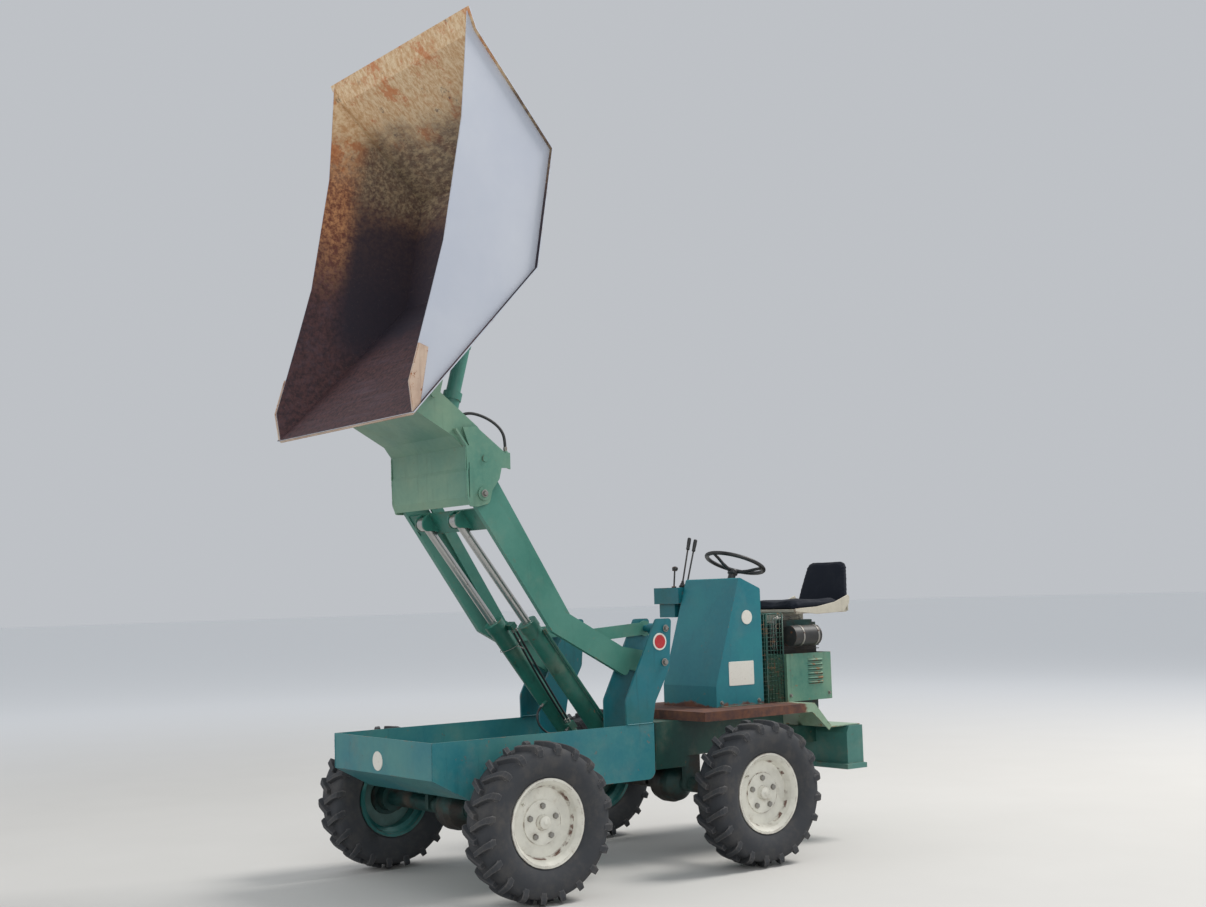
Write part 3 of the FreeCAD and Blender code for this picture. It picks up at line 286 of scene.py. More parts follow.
def tyre_rubber():
    """Dusty black rubber, paler on the lugs' worn tops."""
    g = Graph("tyre_rubber")
    color = g.mottle(RUBBER, (0.095, 0.085, 0.075), 0.42, 0.78, 9, 8, 0.7, amount=0.55)
    color = g.mix(g.times(g.edges(0.010), 0.6), color, (0.16, 0.15, 0.145))
    color = g.mottle(color, (0.13, 0.09, 0.055), 0.62, 0.78, 4.2, 7, 0.7, offset=(7, 7, 1), amount=0.5)
    return g.finish(color, 0.82, g.noise(140, 6, 0.7), 0.35, 0.0012)


def bare_metal(name, tint, roughness, rust):
    """Bright or dull bare steel with rust spots."""
    g = Graph(name, metallic=0.9)
    spots = g.times(g.band(g.noise(30, 8, 0.7), 0.56, 0.68), rust)
    rough = g.plus(roughness, g.times(spots, 0.5))
    return g.finish(g.mix(spots, tint, RUST_BROWN), rough, g.noise(90, 4, stretch=(1, 1, 6)), 0.1, 0.0006)


def cast_iron():
    """Oily castings with caked dust."""
    g = Graph("cast_iron", metallic=0.2)
    cake = g.band(g.noise(8, 8, 0.7), 0.45, 0.7)
    color = g.mix(cake, OIL, (0.075, 0.060, 0.045))
    color = g.mottle(color, TEAL_DEEP, 0.5, 0.62, 3, 5, offset=(2, 6, 1), amount=0.5)
    return g.finish(color, g.plus(0.45, g.times(cake, 0.4)), g.noise(50, 8, 0.7), 0.5, 0.002)


def black_plastic():
    """Worn moulded plastic."""
    g = Graph("black_plastic")
    haze = g.band(g.noise(18, 6, 0.65), 0.4, 0.8)
    color = g.mix(g.times(haze, 0.4), BLACK, shade(BLACK, 1.0, 0.06))
    color = g.mix(g.times(g.edges(0.004), 0.35), color, shade(BLACK, 1.0, 0.16))
    return g.finish(color, g.plus(0.42, g.times(haze, 0.15)), g.noise(160, 4), 0.15, 0.0006)


def seat_cloth():
    """Black woven seat cover, faded and dusty on top."""
    g = Graph("seat_cloth")
    dusty = g.band(g.noise(7, 7, 0.65), 0.45, 0.8)
    up = g.band(g.axis("Normal", 2), 0.4, 1.0)
    faded = g.times(dusty, g.plus(0.12, g.times(up, 0.3)))
    color = g.mix(faded, (0.007, 0.010, 0.018), (0.075, 0.075, 0.080))
    weave = g.node("TexVoronoi", {"Vector": g.coords["Object"], "Scale": 420})
    height = g.plus(g.times(weave.outputs["Distance"], 0.5), g.times(g.noise(16, 6), 0.8))
    g.shader.inputs["Specular IOR Level"].default_value = 0.25
    return g.finish(color, 0.85, height, 0.35, 0.0018)


def enamel(name, tint):
    """Glossy sign enamel with fine scratches and dirty patches."""
    g = Graph(name)
    dirty = g.band(g.noise(60, 8, 0.75), 0.52, 0.7)
    color = g.mix(g.times(dirty, 0.35), tint, DUST)
    return g.finish(color, g.plus(0.35, g.times(dirty, 0.3)), g.noise(120, 4), 0.1, 0.0004)


def hose_rubber():
    """Black hydraulic hose, scuffed and dusty on top."""
    g = Graph("hose_rubber")
    up = g.band(g.axis("Normal", 2), 0.1, 0.9)
    dusty = g.times(up, g.band(g.noise(24, 6, 0.7), 0.35, 0.7))
    color = g.mix(g.times(dusty, 0.6), (0.014, 0.015, 0.017), (0.12, 0.11, 0.10))
    return g.finish(color, g.plus(0.48, g.times(dusty, 0.3)), g.noise(220, 4), 0.2, 0.0005)


DECK_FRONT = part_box("deck")[0].y
CONSOLE_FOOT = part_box("console")[0].z

MATERIALS = {
    "body": worn_paint("teal_body", TEAL_DEEP, TEAL, 0.62, 0.22, dirt=0.12),
    # Rear frame and engine guard darkened to near-black green: painted shade
    "frame": worn_paint("green_frame_painted_shade", (0.005, 0.040, 0.036), GREEN_DARK, 0.4, 0.35, dirt=0.35),
    "tray": worn_paint("tray_green", TEAL, TEAL_PALE, 0.58, 0.30, streaks=0.25, dirt=0.22),
    "console": worn_paint("teal_console", TEAL, TEAL_SUNNY, 0.32, 0.16, streaks=0.18, dirt=0.10,
                          rusty_span=(2, CONSOLE_FOOT - 0.05, CONSOLE_FOOT + 0.095)),
    "cover": worn_paint("green_cover", GREEN, SAGE, 0.55, 0.35, dirt=0.2),
    "deck": worn_paint("deck_paint", SAGE, SAGE_PALE, 0.45, 0.55, dirt=0.25,
                       rusty_span=(1, DECK_FRONT + 0.55, DECK_FRONT + 1.05)),
    "bumper": worn_paint("bumper_green", (0.035, 0.150, 0.130), (0.085, 0.215, 0.185), 0.45, 0.35, dirt=0.35),
    "boom": worn_paint("boom_green", GREEN, GREEN_PALE, 0.60, 0.16, streaks=0.22, dirt=0.15),
    "barrel": worn_paint("barrel_green", GREEN_DARK, GREEN, 0.45, 0.40, streaks=0.6, dirt=0.3),
    "head": worn_paint("head_sage", (0.064, 0.200, 0.150), SAGE, 0.55, 0.16, streaks=0.22, dirt=0.15),
    "skip": skip_paint(),
    "rusty_lip": worn_paint("rusty_lip", (0.340, 0.200, 0.140), (0.560, 0.450, 0.350), 0.6, 0.9, dirt=0.4),
    "skip_white": worn_paint("white_plates", SHADED_WHITE_CHALKY, (0.60, 0.61, 0.63), 0.5, 0.45, dirt=0.3),
    "rim": rim_paint(),
    "tyre": tyre_rubber(),
    "rod": bare_metal("rod_steel", STEEL, 0.28, 0.5),
    "zinc": bare_metal("dull_zinc", (0.30, 0.29, 0.27), 0.45, 0.9),
    "iron": cast_iron(),
    "black": worn_paint("black_paint", BLACK, (0.05, 0.05, 0.05), 0.4, 0.4, dirt=0.3, roughness=0.5),
    "plastic": black_plastic(),
    "pan": worn_paint("seat_pan", (0.42, 0.39, 0.32), (0.62, 0.58, 0.48), 0.5, 0.45, dirt=0.2),
    "cloth": seat_cloth(),
    "hose": hose_rubber(),
    "white_sign": enamel("white_sign", (0.66, 0.64, 0.58)),
    "red_sign": enamel("red_sign", (0.42, 0.020, 0.025)),
}

# CAD nodes by material
NODE_MATERIALS = {
    "body": "columns front_yoke cylinder_anchor valve_block",
    "frame": "rear_frame engine_guard",
    "tray": "tray",
    "console": "console",
    "cover": "engine_cover",
    "deck": "deck",
    "bumper": "rear_bumper",
    "boom": "boom_arms levelling_links tip_barrel tip_stage",
    "barrel": "lift_barrels boom_cross_plate",
    "head": "head_box skip_lugs",
    "skip": "skip_tub",
    "rim": "rim_front_left rim_front_right rim_rear_left rim_rear_right",
    "tyre": "tyre_front_left tyre_front_right tyre_rear_left tyre_rear_right",
    "rod": "lift_rods tip_rod",
    "iron": "front_axle rear_axle transmission engine_block",
    "black": "levers steering_column air_filter",
    "plastic": "steering_wheel",
    "pan": "seat_base",
    "cloth": "seat_squab seat_back",
}


def dress(obj, material):
    """Give an object one material on all its faces."""
    if not obj.material_slots:
        obj.data.materials.append(material)
    for slot in obj.material_slots:
        slot.material = material


def dress_nodes():
    for key, names in NODE_MATERIALS.items():
        for name in names.split():
            dress(NODES[name], MATERIALS[key])


def link(name, data):
    """New object in the scene for a mesh, curve, light or camera."""
    obj = bpy.data.objects.new(name, data)
    bpy.context.collection.objects.link(obj)
    return obj


def piece(name, mesh, material, body, smooth=True, place=(0, 0, 0), replaces=None):
    """Object from a bmesh that rides on a body."""
    data = bpy.data.meshes.new(name)
    bmesh.ops.recalc_face_normals(mesh, faces=mesh.faces)
    mesh.to_mesh(data)
    mesh.free()
    if smooth:
        data.shade_smooth()
    obj = link(name, data)
    obj.location = place
    dress(obj, MATERIALS[material])
    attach(obj, body)
    if replaces:
        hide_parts(replaces)
    return obj


def skin(mesh, rows, over=False, caps=True):
    """Quads round and between rows of points, over from the last row to the first or with caps at the ends."""
    rows = [[mesh.verts.new(point) for point in row] for row in rows]
    for row, following in zip(rows, rows[1:] + rows[:1] if over else rows[1:]):
        for index in range(len(row)):
            nxt = (index + 1) % len(row)
            mesh.faces.new((row[index], row[nxt], following[nxt], following[index]))
    if caps and not over:
        mesh.faces.new(rows[0])
        mesh.faces.new(rows[-1])


def circle(steps):
    """Cosine and sine of even steps round a circle."""
    angles = [2 * math.pi * step / steps for step in range(steps)]
    return [(math.cos(angle), math.sin(angle)) for angle in angles]


def rolled_edges(obj, width):
    bevel = obj.modifiers.new("rolled_edges", "BEVEL")
    bevel.width = width
    bevel.segments = 2


def turn(mesh, point, direction, profile, steps=24):
    """Solid turned about a direction through point; the profile is a list of (distance, radius)."""
    rotation = Vector(direction).to_track_quat("X", "Z").to_matrix()
    point = Vector(point)
    skin(mesh, [[point + rotation @ Vector((x, r * sine, r * cosine)) for cosine, sine in circle(steps)]
                for x, r in profile])


def sweep(mesh, points, radii, sides=8):
    """Tube through points, with one radius or one for each point."""
    points = [Vector(point) for point in points]
    if not hasattr(radii, "__len__"):
        radii = [radii] * len(points)
    normal = None
    rings = []
    for index, (point, radius) in enumerate(zip(points, radii)):
        tangent = (points[min(index + 1, len(points) - 1)] - points[max(index - 1, 0)]).normalized()
        if normal is None:
            normal = tangent.orthogonal().normalized()
        normal = (normal - tangent * normal.dot(tangent)).normalized()
        other = tangent.cross(normal)
        rings.append([point + (normal * cosine + other * sine) * radius for cosine, sine in circle(sides)])
    skin(mesh, rings)


def slab(mesh, points, x0, x1):
    """Plate between two x planes; points are (y, z) round its edge, in the row frame."""
    skin(mesh, [[(x, y, z) for y, z in points] for x in (x0, x1)])


def moved(points):
    """Points (y, z) measured from the middle of the wheelbase, moved to the row frame."""
    return [(y + ROW_SHIFT, z) for y, z in points]


def bar(mesh, x0, x1, y0, y1, z0, z1):
    """Box measured from the middle of the wheelbase."""
    slab(mesh, moved([(y0, z0), (y1, z0), (y1, z1), (y0, z1)]), x0, x1)


def bolt(mesh, point, direction, size):
    """Washer and hexagon head standing on a face; size is across the head's flats, roughly."""
    radius = size * 0.58
    turn(mesh, point, direction, [(0.0, radius * 1.45), (0.0022, radius * 1.45), (0.0026, radius * 1.38)], 20)
    start = Vector(point) + Vector(direction).normalized() * 0.0024
    turn(mesh, start, direction, [(0.0, radius), (size * 0.5, radius), (size * 0.62, radius * 0.86)], 6)


def bead(mesh, start, end, radius, seed):
    """Weld bead from start to end, rippled and a little uneven."""
    dice = random.Random(seed)
    count = max(4, int((end - start).length / 0.007))
    points = []
    radii = []
    for index in range(count + 1):
        jitter = Vector([dice.uniform(-0.10, 0.10) * radius for _ in range(3)])
        points.append(start.lerp(end, index / count) + jitter)
        radii.append(radius * (1.0 if index % 2 else 0.82) * dice.uniform(0.92, 1.08))
    radii[0] *= 0.6
    radii[-1] *= 0.6
    sweep(mesh, points, radii, 6)


def mirrored(point, side):
    return Vector((point[0] * side, point[1], point[2]))


WHEELS = [(end + word, side) for end in ("front_", "rear_") for word, side in (("left", 1), ("right", -1))]
LUGS_PER_SIDE = 20
CARCASS_SINK = 0.030
CROWN_SINK = 0.024
# Stations along a lug: share of the half width, sweep in radians, drop of the top, width, depth, push outward
LUG_STATIONS = [
    (-0.10, 0.150, 0.0, 0.024, CARCASS_SINK, 0.0), (0.15, 0.120, 0.0, 0.025, CARCASS_SINK, 0.0),
    (0.45, 0.075, -0.001, 0.026, CARCASS_SINK, 0.0), (0.75, 0.035, -0.005, 0.028, CARCASS_SINK, 0.0),
    (0.94, 0.010, -0.013, 0.031, CARCASS_SINK, 0.0), (1.00, 0.000, -0.030, 0.034, 0.016, 0.010),
    (0.985, -0.006, -0.060, 0.030, 0.016, 0.010),
]


def add_lug(mesh, side, start_angle, half, tip_radius):
    """One tread bar from the crown to the shoulder and down the sidewall."""
    rows = []
    for share, lag, drop, width, depth, out in LUG_STATIONS:
        top = tip_radius + drop
        row = []
        for radius, half_width, push in ((top - depth, width * 0.72, -out), (top, width * 0.5, 0.0)):
            for direction in (-1, 1):
                angle = start_angle - lag + direction * half_width / tip_radius
                x = side * (half * share + push)
                row.append((x, radius * math.sin(angle), radius * math.cos(angle)))
        rows.append((row[0], row[2], row[3], row[1]))
    skin(mesh, rows)


def make_tyres():
    """Tyres with chevron lugs in the space of their CAD solids."""
    for wheel, _ in WHEELS:
        node = "tyre_" + wheel
        low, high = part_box(node)
        centre = (low + high) / 2
        half = (high.x - low.x) / 2
        radius = (high.z - low.z) / 2
        rim_low, rim_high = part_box("rim_" + wheel)
        rim = (rim_high.z - rim_low.z) / 2
        crown = radius - CROWN_SINK
        # Half of the carcass from the middle of the crown to the bead: share of the half width, radius
        profile = [
            (0.2, crown), (0.60, crown - 0.002), (0.86, crown - 0.010), (0.95, rim + 0.112),
            (0.985, rim + 0.088), (0.985, rim + 0.062), (0.93, rim + 0.036), (0.80, rim + 0.012),
            (0.70, rim + 0.004), (0.66, rim - 0.016),
        ]
        profile = [(-share, r) for share, r in reversed(profile)] + profile
        mesh = bmesh.new()
        rings = [[(share * half, r * sine, r * cosine) for share, r in profile] for cosine, sine in circle(80)]
        skin(mesh, rings, over=True)
        piece(node + "_carcass", mesh, "tyre", "wheel_" + wheel, place=centre, replaces=node)
        mesh = bmesh.new()
        pitch = 2 * math.pi / LUGS_PER_SIDE
        for side in (-1, 1):
            for index in range(LUGS_PER_SIDE):
                add_lug(mesh, side, index * pitch + (pitch / 2 if side > 0 else 0), half, radius)
        tread = piece(node + "_lugs", mesh, "tyre", "wheel_" + wheel, smooth=False, place=centre)
        rolled_edges(tread, 0.0025)


# Axis of the lift cylinders, and the x of each barrel's middle
RAM_FOOT = at(0.0, 0.170, 0.620)
RAM_TOP = at(0.0, -0.770, 1.828)
RAM_ALONG = (RAM_TOP - RAM_FOOT).normalized()
RAM_AHEAD = Vector((0.0, -RAM_ALONG.z, RAM_ALONG.y))
BARREL_X = 0.160


def on_ram(x, distance, offset):
    """Point beside a lift cylinder: distance along it, offset ahead of its axis."""
    place = RAM_FOOT + RAM_ALONG * distance + RAM_AHEAD * offset
    return Vector((x, place.y, place.z))


# Hoses: body, radius, length, how its points are measured, and the route's points
HOSES = {
    "hose_head_loop": ("head", 0.0075, 0.473, at, [
        (0.348, -0.598, 2.168), (0.348, -0.598, 2.218), (0.344, -0.608, 2.268), (0.329, -0.645, 2.314),
        (0.303, -0.705, 2.351), (0.283, -0.772, 2.366), (0.266, -0.828, 2.344), (0.254, -0.858, 2.298),
        (0.254, -0.858, 2.2445)]),
    "hose_ram_inner": ("lift_cylinder_barrels", 0.006, 0.627, on_ram, [
        (-0.084, 0.1654, -0.004), (-0.083, 0.320, -0.011), (-0.083, 0.480, -0.023), (-0.084, 0.640, -0.038),
        (-0.086, 0.7891, -0.054)]),
    "hose_ram_outer": ("lift_cylinder_barrels", 0.006, 0.627, on_ram, [
        (-0.104, 0.1654, 0.004), (-0.103, 0.318, -0.001), (-0.101, 0.476, -0.010), (-0.100, 0.636, -0.024),
        (-0.102, 0.7891, -0.042)]),
    "hose_ram_loop": ("lift_cylinder_barrels", 0.006, 0.337, on_ram, [
        (-0.087, 0.142, 0.020), (-0.087, 0.142, 0.066), (-0.092, 0.167, 0.111), (-0.104, 0.212, 0.138),
        (-0.114, 0.268, 0.145), (-0.122, 0.310, 0.124), (-0.126, 0.332, 0.087), (-0.126, 0.332, 0.044)]),
}
# Crimped ferrule: distance from the hose's end, share of the hose's radius
FERRULE = [(0.0, 1.25), (0.005, 1.32), (0.006, 1.18), (0.009, 1.18), (0.010, 1.32), (0.0216, 1.32),
           (0.024, 1.05)]


def make_hoses():
    """Hydraulic hoses on the head and the right lift cylinder, with crimped ferrules at both ends."""
    for name, (body, radius, length, measured, route) in HOSES.items():
        points = [measured(*point) for point in route]
        data = bpy.data.curves.new(name, "CURVE")
        data.dimensions = "3D"
        data.bevel_depth = radius
        data.bevel_resolution = 4
        data.use_fill_caps = True
        spline = data.splines.new("NURBS")
        spline.points.add(len(points) - 1)
        for place, point in zip(spline.points, points):
            place.co = (*point, 1.0)
        spline.order_u = 3
        spline.use_endpoint_u = True
        spline.resolution_u = 10
        tube = link(name + "_line", data)
        dress(tube, MATERIALS["hose"])
        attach(tube, body)
        mesh = bmesh.new()
        for end, inner in ((points[0], points[1]), (points[-1], points[-2])):
            turn(mesh, end, (inner - end).normalized(), [(x, radius * share) for x, share in FERRULE], 20)
        ferrules = piece(name + "_ferrules", mesh, "zinc", body, smooth=False)


# Ends of the head's hose: nut on its tab, and port on the bracket's floor
TAB_NUT = at(0.348, -0.598, 2.161)
BRACKET_PORT = at(0.254, -0.858, 2.205)
# Tab on each side of the head: points (y, z) round its edge
HEAD_TAB = [(-0.612, 2.086), (-0.612, 2.166), (-0.584, 2.160), (-0.584, 2.078)]
# Fittings of the right lift barrel: distances along it, offsets from its axis, x from its inner face out
HOSE_MANIFOLD = ((0.120, 0.1652), (-0.020, 0.020), (-0.1165, -0.066))
HOSE_CLAMP = ((0.7893, 0.820), (-0.064, -0.030), (-0.125, -0.070))
# Oil pipe outside each barrel: distance from the barrel's axis to the side and ahead, start and end along it
PIPE_SIDE = 0.044
PIPE_RISE = -0.038
PIPE_SPAN = (0.170, 0.777)


def make_hose_fittings():
    """Tabs and ports of the head's hose; manifold, clamp, port and oil pipes on the lift barrels."""
    mesh = bmesh.new()
    for side in (1, -1):
        slab(mesh, moved(HEAD_TAB), side * 0.3610, side * 0.3712)
    bar(mesh, 0.334, 0.362, -0.612, -0.584, 2.148, 2.162)
    turn(mesh, TAB_NUT, (0, 0, 1), [(0.0, 0.0125), (0.009, 0.0125), (0.010, 0.010)], 6)
    turn(mesh, BRACKET_PORT, (0, 0, 1), [(0.0, 0.011), (0.040, 0.011)], 20)
    piece("head_hose_tabs", mesh, "head", "head", smooth=False)
    mesh = bmesh.new()
    for distances, offsets, faces in (HOSE_MANIFOLD, HOSE_CLAMP):
        corners = [on_ram(0, distances[a], offsets[b]) for a, b in ((0, 0), (1, 0), (1, 1), (0, 1))]
        slab(mesh, [(corner.y, corner.z) for corner in corners], *faces)
    sweep(mesh, [on_ram(-0.126, 0.332, 0.020), on_ram(-0.126, 0.332, 0.046)], 0.011, 20)
    low, high = PIPE_SPAN
    for side in (1, -1):
        x = side * (BARREL_X + PIPE_SIDE)
        sweep(mesh, [on_ram(x, low, PIPE_RISE), on_ram(x, high, PIPE_RISE)], 0.008, 20)
        for distance in (low, high):
            wall = on_ram(side * (BARREL_X + PIPE_SIDE * 0.8), distance, PIPE_RISE * 0.8)
            sweep(mesh, [wall, on_ram(x, distance, PIPE_RISE)], 0.010, 16)
            nut = [on_ram(x, distance + along, PIPE_RISE) for along in (-0.013, 0.013)]
            sweep(mesh, nut, 0.0125, 6)
    piece("ram_hose_fittings", mesh, "barrel", "lift_cylinder_barrels", smooth=False)


TIE_DISTANCE = 0.700
TIE_RADIUS = 0.062


def make_tie_wire():
    """Wire twisted round the right lift barrel and its hoses."""
    mesh = bmesh.new()
    centre = on_ram(-BARREL_X, TIE_DISTANCE, -0.008)
    loop = []
    for step in range(41):
        angle = 2 * math.pi * step / 40
        reach = TIE_RADIUS * (1.0 + 0.05 * math.cos(2 * angle + 0.6))
        loop.append(centre + Vector((math.cos(angle) * reach, 0, 0)) + RAM_AHEAD * math.sin(angle) * reach
                    + RAM_ALONG * 0.006 * math.sin(angle * 1.5))
    sweep(mesh, loop, 0.0017, 8)
    for start in (0.0, math.pi):
        twist = []
        for step in range(17):
            angle = start + step * 0.9
            out = loop[0] + Vector((0.0035 * step, 0.0, 0.0)) - RAM_ALONG * 0.0012 * step
            twist.append(out + RAM_AHEAD * math.sin(angle) * 0.0022 + RAM_ALONG * math.cos(angle) * 0.0022)
        sweep(mesh, twist, 0.0016, 8)
    piece("tie_wire", mesh, "zinc", "lift_cylinder_barrels")


STUD_CIRCLE_RADIUS = 0.077
STUD_COUNT = 5
STUD_FACE = 0.743
NUT_SIZE = 0.026
# Turned profiles: distance and radius
HUB_CAP = [(0.0, 0.0315), (0.004, 0.031), (0.007, 0.026), (0.0075, 0.012), (0.011, 0.011), (0.013, 0.008)]
VALVE_STEM = [(0.0, 0.006), (0.016, 0.005), (0.017, 0.0038), (0.034, 0.0038), (0.035, 0.0046),
              (0.044, 0.0046)]


def make_wheel_fittings():
    """Wheel nuts, hub cap with its grease cap, and the valve stem of each wheel."""
    for wheel, side in WHEELS:
        low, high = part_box("rim_" + wheel)
        centre = (low + high) / 2
        outward = Vector((side, 0, 0))
        mesh = bmesh.new()
        for index in range(STUD_COUNT):
            angle = math.radians(90 + index * 360 / STUD_COUNT)
            place = Vector((side * STUD_FACE, centre.y + side * STUD_CIRCLE_RADIUS * math.cos(angle),
                            centre.z + STUD_CIRCLE_RADIUS * math.sin(angle)))
            bolt(mesh, place, outward, NUT_SIZE)
        piece("wheel_nuts_" + wheel, mesh, "zinc", "wheel_" + wheel, smooth=False)
        mesh = bmesh.new()
        turn(mesh, (side * (STUD_FACE + 0.0255), centre.y, centre.z), outward, HUB_CAP, 32)
        stem = (side * (STUD_FACE - 0.006), centre.y - 0.105, centre.z + 0.088)
        turn(mesh, stem, (side, -0.35, 0.3), VALVE_STEM, 14)
        piece("hub_cap_" + wheel, mesh, "rim", "wheel_" + wheel)


STEER_CENTRE = at(0.0, 1.248, 1.600)
STEER_TILT = math.radians(21.0)
STEER_RADIUS = 0.171
STEER_RIM = 0.0135
STEER_DISH = 0.060
# Hub: distance along the axis, radius
STEER_HUB = [(0.0, 0.027), (0.002, 0.030), (0.024, 0.030), (0.031, 0.026), (0.035, 0.016), (0.036, 0.006)]
# Spoke: rise from the hub along the axis, distance from the axis
STEER_SPOKE = [(0.020, 0.014), (0.024, 0.050), (0.036, 0.090), (0.052, 0.128)]


def make_steering_wheel():
    """Smooth dished wheel with a moulded rim, three spokes and a hub cap."""
    axis = Vector((0.0, math.sin(STEER_TILT), math.cos(STEER_TILT)))
    level = Vector((1.0, 0.0, 0.0))
    other = axis.cross(level)
    mesh = bmesh.new()
    rings = []
    for step, (cosine, sine) in enumerate(circle(96)):
        outward = level * cosine + other * sine
        grip = STEER_RIM * (1.0 if step % 4 else 0.965)
        rings.append([STEER_CENTRE + outward * (STEER_RADIUS + grip * across)
                      + axis * (STEER_RIM * 0.85 * rise) for across, rise in circle(14)])
    skin(mesh, rings, over=True)
    hub = STEER_CENTRE - axis * (STEER_DISH + 0.012)
    for index in range(3):
        angle = math.radians(90 + 120 * index)
        outward = level * math.cos(angle) - other * math.sin(angle)
        points = [hub + axis * rise + outward * reach for rise, reach in STEER_SPOKE]
        points.append(STEER_CENTRE - axis * 0.006 + outward * (STEER_RADIUS - 0.004))
        sweep(mesh, points, [0.012, 0.0105, 0.0095, 0.0090, 0.0095], 12)
    turn(mesh, hub, axis, STEER_HUB, 40)
    piece("steering_wheel_rim", mesh, "plastic", "steering", replaces="steering_wheel")


# Rolled edge of a sign: distance and share of the radius; its raised face: the same
DISC_EDGE = [(0.0, 1.0), (0.0022, 1.0), (0.0030, 0.985), (0.0030, 0.02)]
DISC_FACE = [(0.0, 0.80), (0.0010, 0.79), (0.0010, 0.02)]


def sign_disc(name, place, outward, radius, body, face=None):
    """Thin round blank sign; face is the material of its raised middle."""
    mesh = bmesh.new()
    turn(mesh, place, outward, [(x, radius * share) for x, share in DISC_EDGE], 48)
    piece(name, mesh, "white_sign", body, smooth=False)
    if face:
        mesh = bmesh.new()
        middle = Vector(place) + Vector(outward) * 0.0029
        turn(mesh, middle, outward, [(x, radius * share) for x, share in DISC_FACE], 48)
        piece(name + "_face", mesh, face, body, smooth=False)


def sign_plate(name, place, width, height, corner, body):
    """Thin blank plate with rounded corners and rivets on a face that looks to the left."""
    mesh = bmesh.new()
    outline = []
    for cy, cz, start in ((1, 1, 0), (-1, 1, 90), (-1, -1, 180), (1, -1, 270)):
        for step in range(5):
            angle = math.radians(start + step * 22.5)
            outline.append((cy * (width / 2 - corner) + corner * math.cos(angle),
                            cz * (height / 2 - corner) + corner * math.sin(angle)))
    skin(mesh, [[(place.x + out, place.y + y - math.copysign(shrink, y),
                  place.z + z - math.copysign(shrink, z)) for y, z in outline]
                for out, shrink in ((0.0, 0.0), (0.0012, 0.0), (0.0018, 0.0006))])
    for y, z in ((1, 1), (-1, 1), (-1, -1), (1, -1)):
        rivet = place + Vector((0.0018, y * (width / 2 - corner * 1.2), z * (height / 2 - corner * 1.2)))
        turn(mesh, rivet, (1, 0, 0), [(0.0, 0.0032), (0.0010, 0.0028), (0.0016, 0.0014)], 12)
    piece(name, mesh, "white_sign", body, smooth=False)


TRAY_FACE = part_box("tray")[0].y
TRAY_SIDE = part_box("tray")[1].x
CONSOLE_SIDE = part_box("console")[1].x


def make_signs():
    """Reflector on the tray, blank badge on the column, blank disc and plate on the console."""
    sign_disc("tray_reflector", (-0.034, TRAY_FACE, 0.649), (0, -1, 0), 0.0475, "front_chassis")
    sign_disc("column_badge", at(TRAY_SIDE, 0.255, 1.182), (1, 0, 0), 0.045, "front_chassis", "red_sign")
    sign_disc("console_disc", at(CONSOLE_SIDE, 1.112, 1.285), (1, 0, 0), 0.040, "rear_chassis")
    sign_plate("console_plate", at(CONSOLE_SIDE, 1.057, 0.970), 0.190, 0.134, 0.006, "rear_chassis")


# Bolts of the left side by body, put on both sides: place, direction, size
BOLTS = {
    "front_chassis": [
        (at(0.492, 0.294, 1.250), (1, 0, 0), 0.022), (at(0.492, 0.281, 1.074), (1, 0, 0), 0.024),
    ],
    "head": [(at(0.386, -0.750, 1.952), (1, 0, 0), 0.022)],
    "rear_chassis": [
        (at(0.231, 0.900, 0.812), (1, 0, 0), 0.014), (at(0.231, 1.185, 0.812), (1, 0, 0), 0.014),
        (at(0.245, 1.425, 0.822), (1, 0, 0), 0.013), (at(0.245, 1.740, 0.822), (1, 0, 0), 0.013),
    ] + [(at(x, 1.790, z), (0, 1, 0), 0.024) for x in (0.20, 0.38) for z in (0.470, 0.585)],
}


def make_bolts():
    for body, rows in BOLTS.items():
        mesh = bmesh.new()
        for place, direction, size in rows:
            for side in (1, -1):
                bolt(mesh, mirrored(place, side), mirrored(direction, side), size)
        piece("bolts_" + body, mesh, "zinc", body, smooth=False)


# Skip's side view: pouring lip, floor's front and rear, rear wall's foot and lip
SKIP_WRAP = [(-0.884, 0.609), (0.0, 0.0), (0.634, 0.0), (1.050, 0.556), (1.145, 0.619)]


def on_skip(run, rise, out, side):
    """Point on a side plate of the skip, out from its face; side is 1 for the left, -1 for the right."""
    x = SKIP_HALF_FLOOR + math.sin(SKIP_FLARE) * rise + out
    return mirrored(SKIP_CORNER + Vector((x, 0.0, 0.0)) + SKIP_RUN * run + SKIP_RISE * rise, side)


# Seams of the left side by body, welded on both sides: start, end, bead radius
SEAMS = {
    "front_chassis": [
        (at(0.486, 0.022, 0.764), at(0.486, 0.194, 0.764), 0.0045),
        (at(0.482, -1.1400, 0.590), at(0.482, -1.1400, 0.760), 0.0040),
        (at(0.474, 0.024, 0.768), at(0.474, 0.192, 0.768), 0.0050),
    ],
    "head": [
        (at(0.366, -0.846, 2.066), at(0.366, -0.846, 2.186), 0.0045),
        (at(0.366, -0.842, 1.938), at(0.366, -0.845, 2.060), 0.0045),
        (at(0.340, -0.832, 2.192), at(0.340, -0.902, 2.256), 0.0045),
        (at(0.330, -0.900, 2.250), at(0.330, -1.098, 2.354), 0.0040),
    ],
    "rear_chassis": [
        (at(0.232, 0.870, 0.789), at(0.232, 1.218, 0.789), 0.0035),
        (at(0.430, 1.658, 0.640), at(0.430, 1.788, 0.640), 0.0045),
        (at(0.450, 1.662, 0.425), at(0.450, 1.788, 0.425), 0.0045),
    ],
}
SEAM_MATERIALS = {"front_chassis": "body", "head": "head", "rear_chassis": "frame"}
SKIP_SEAM_SEED = 50


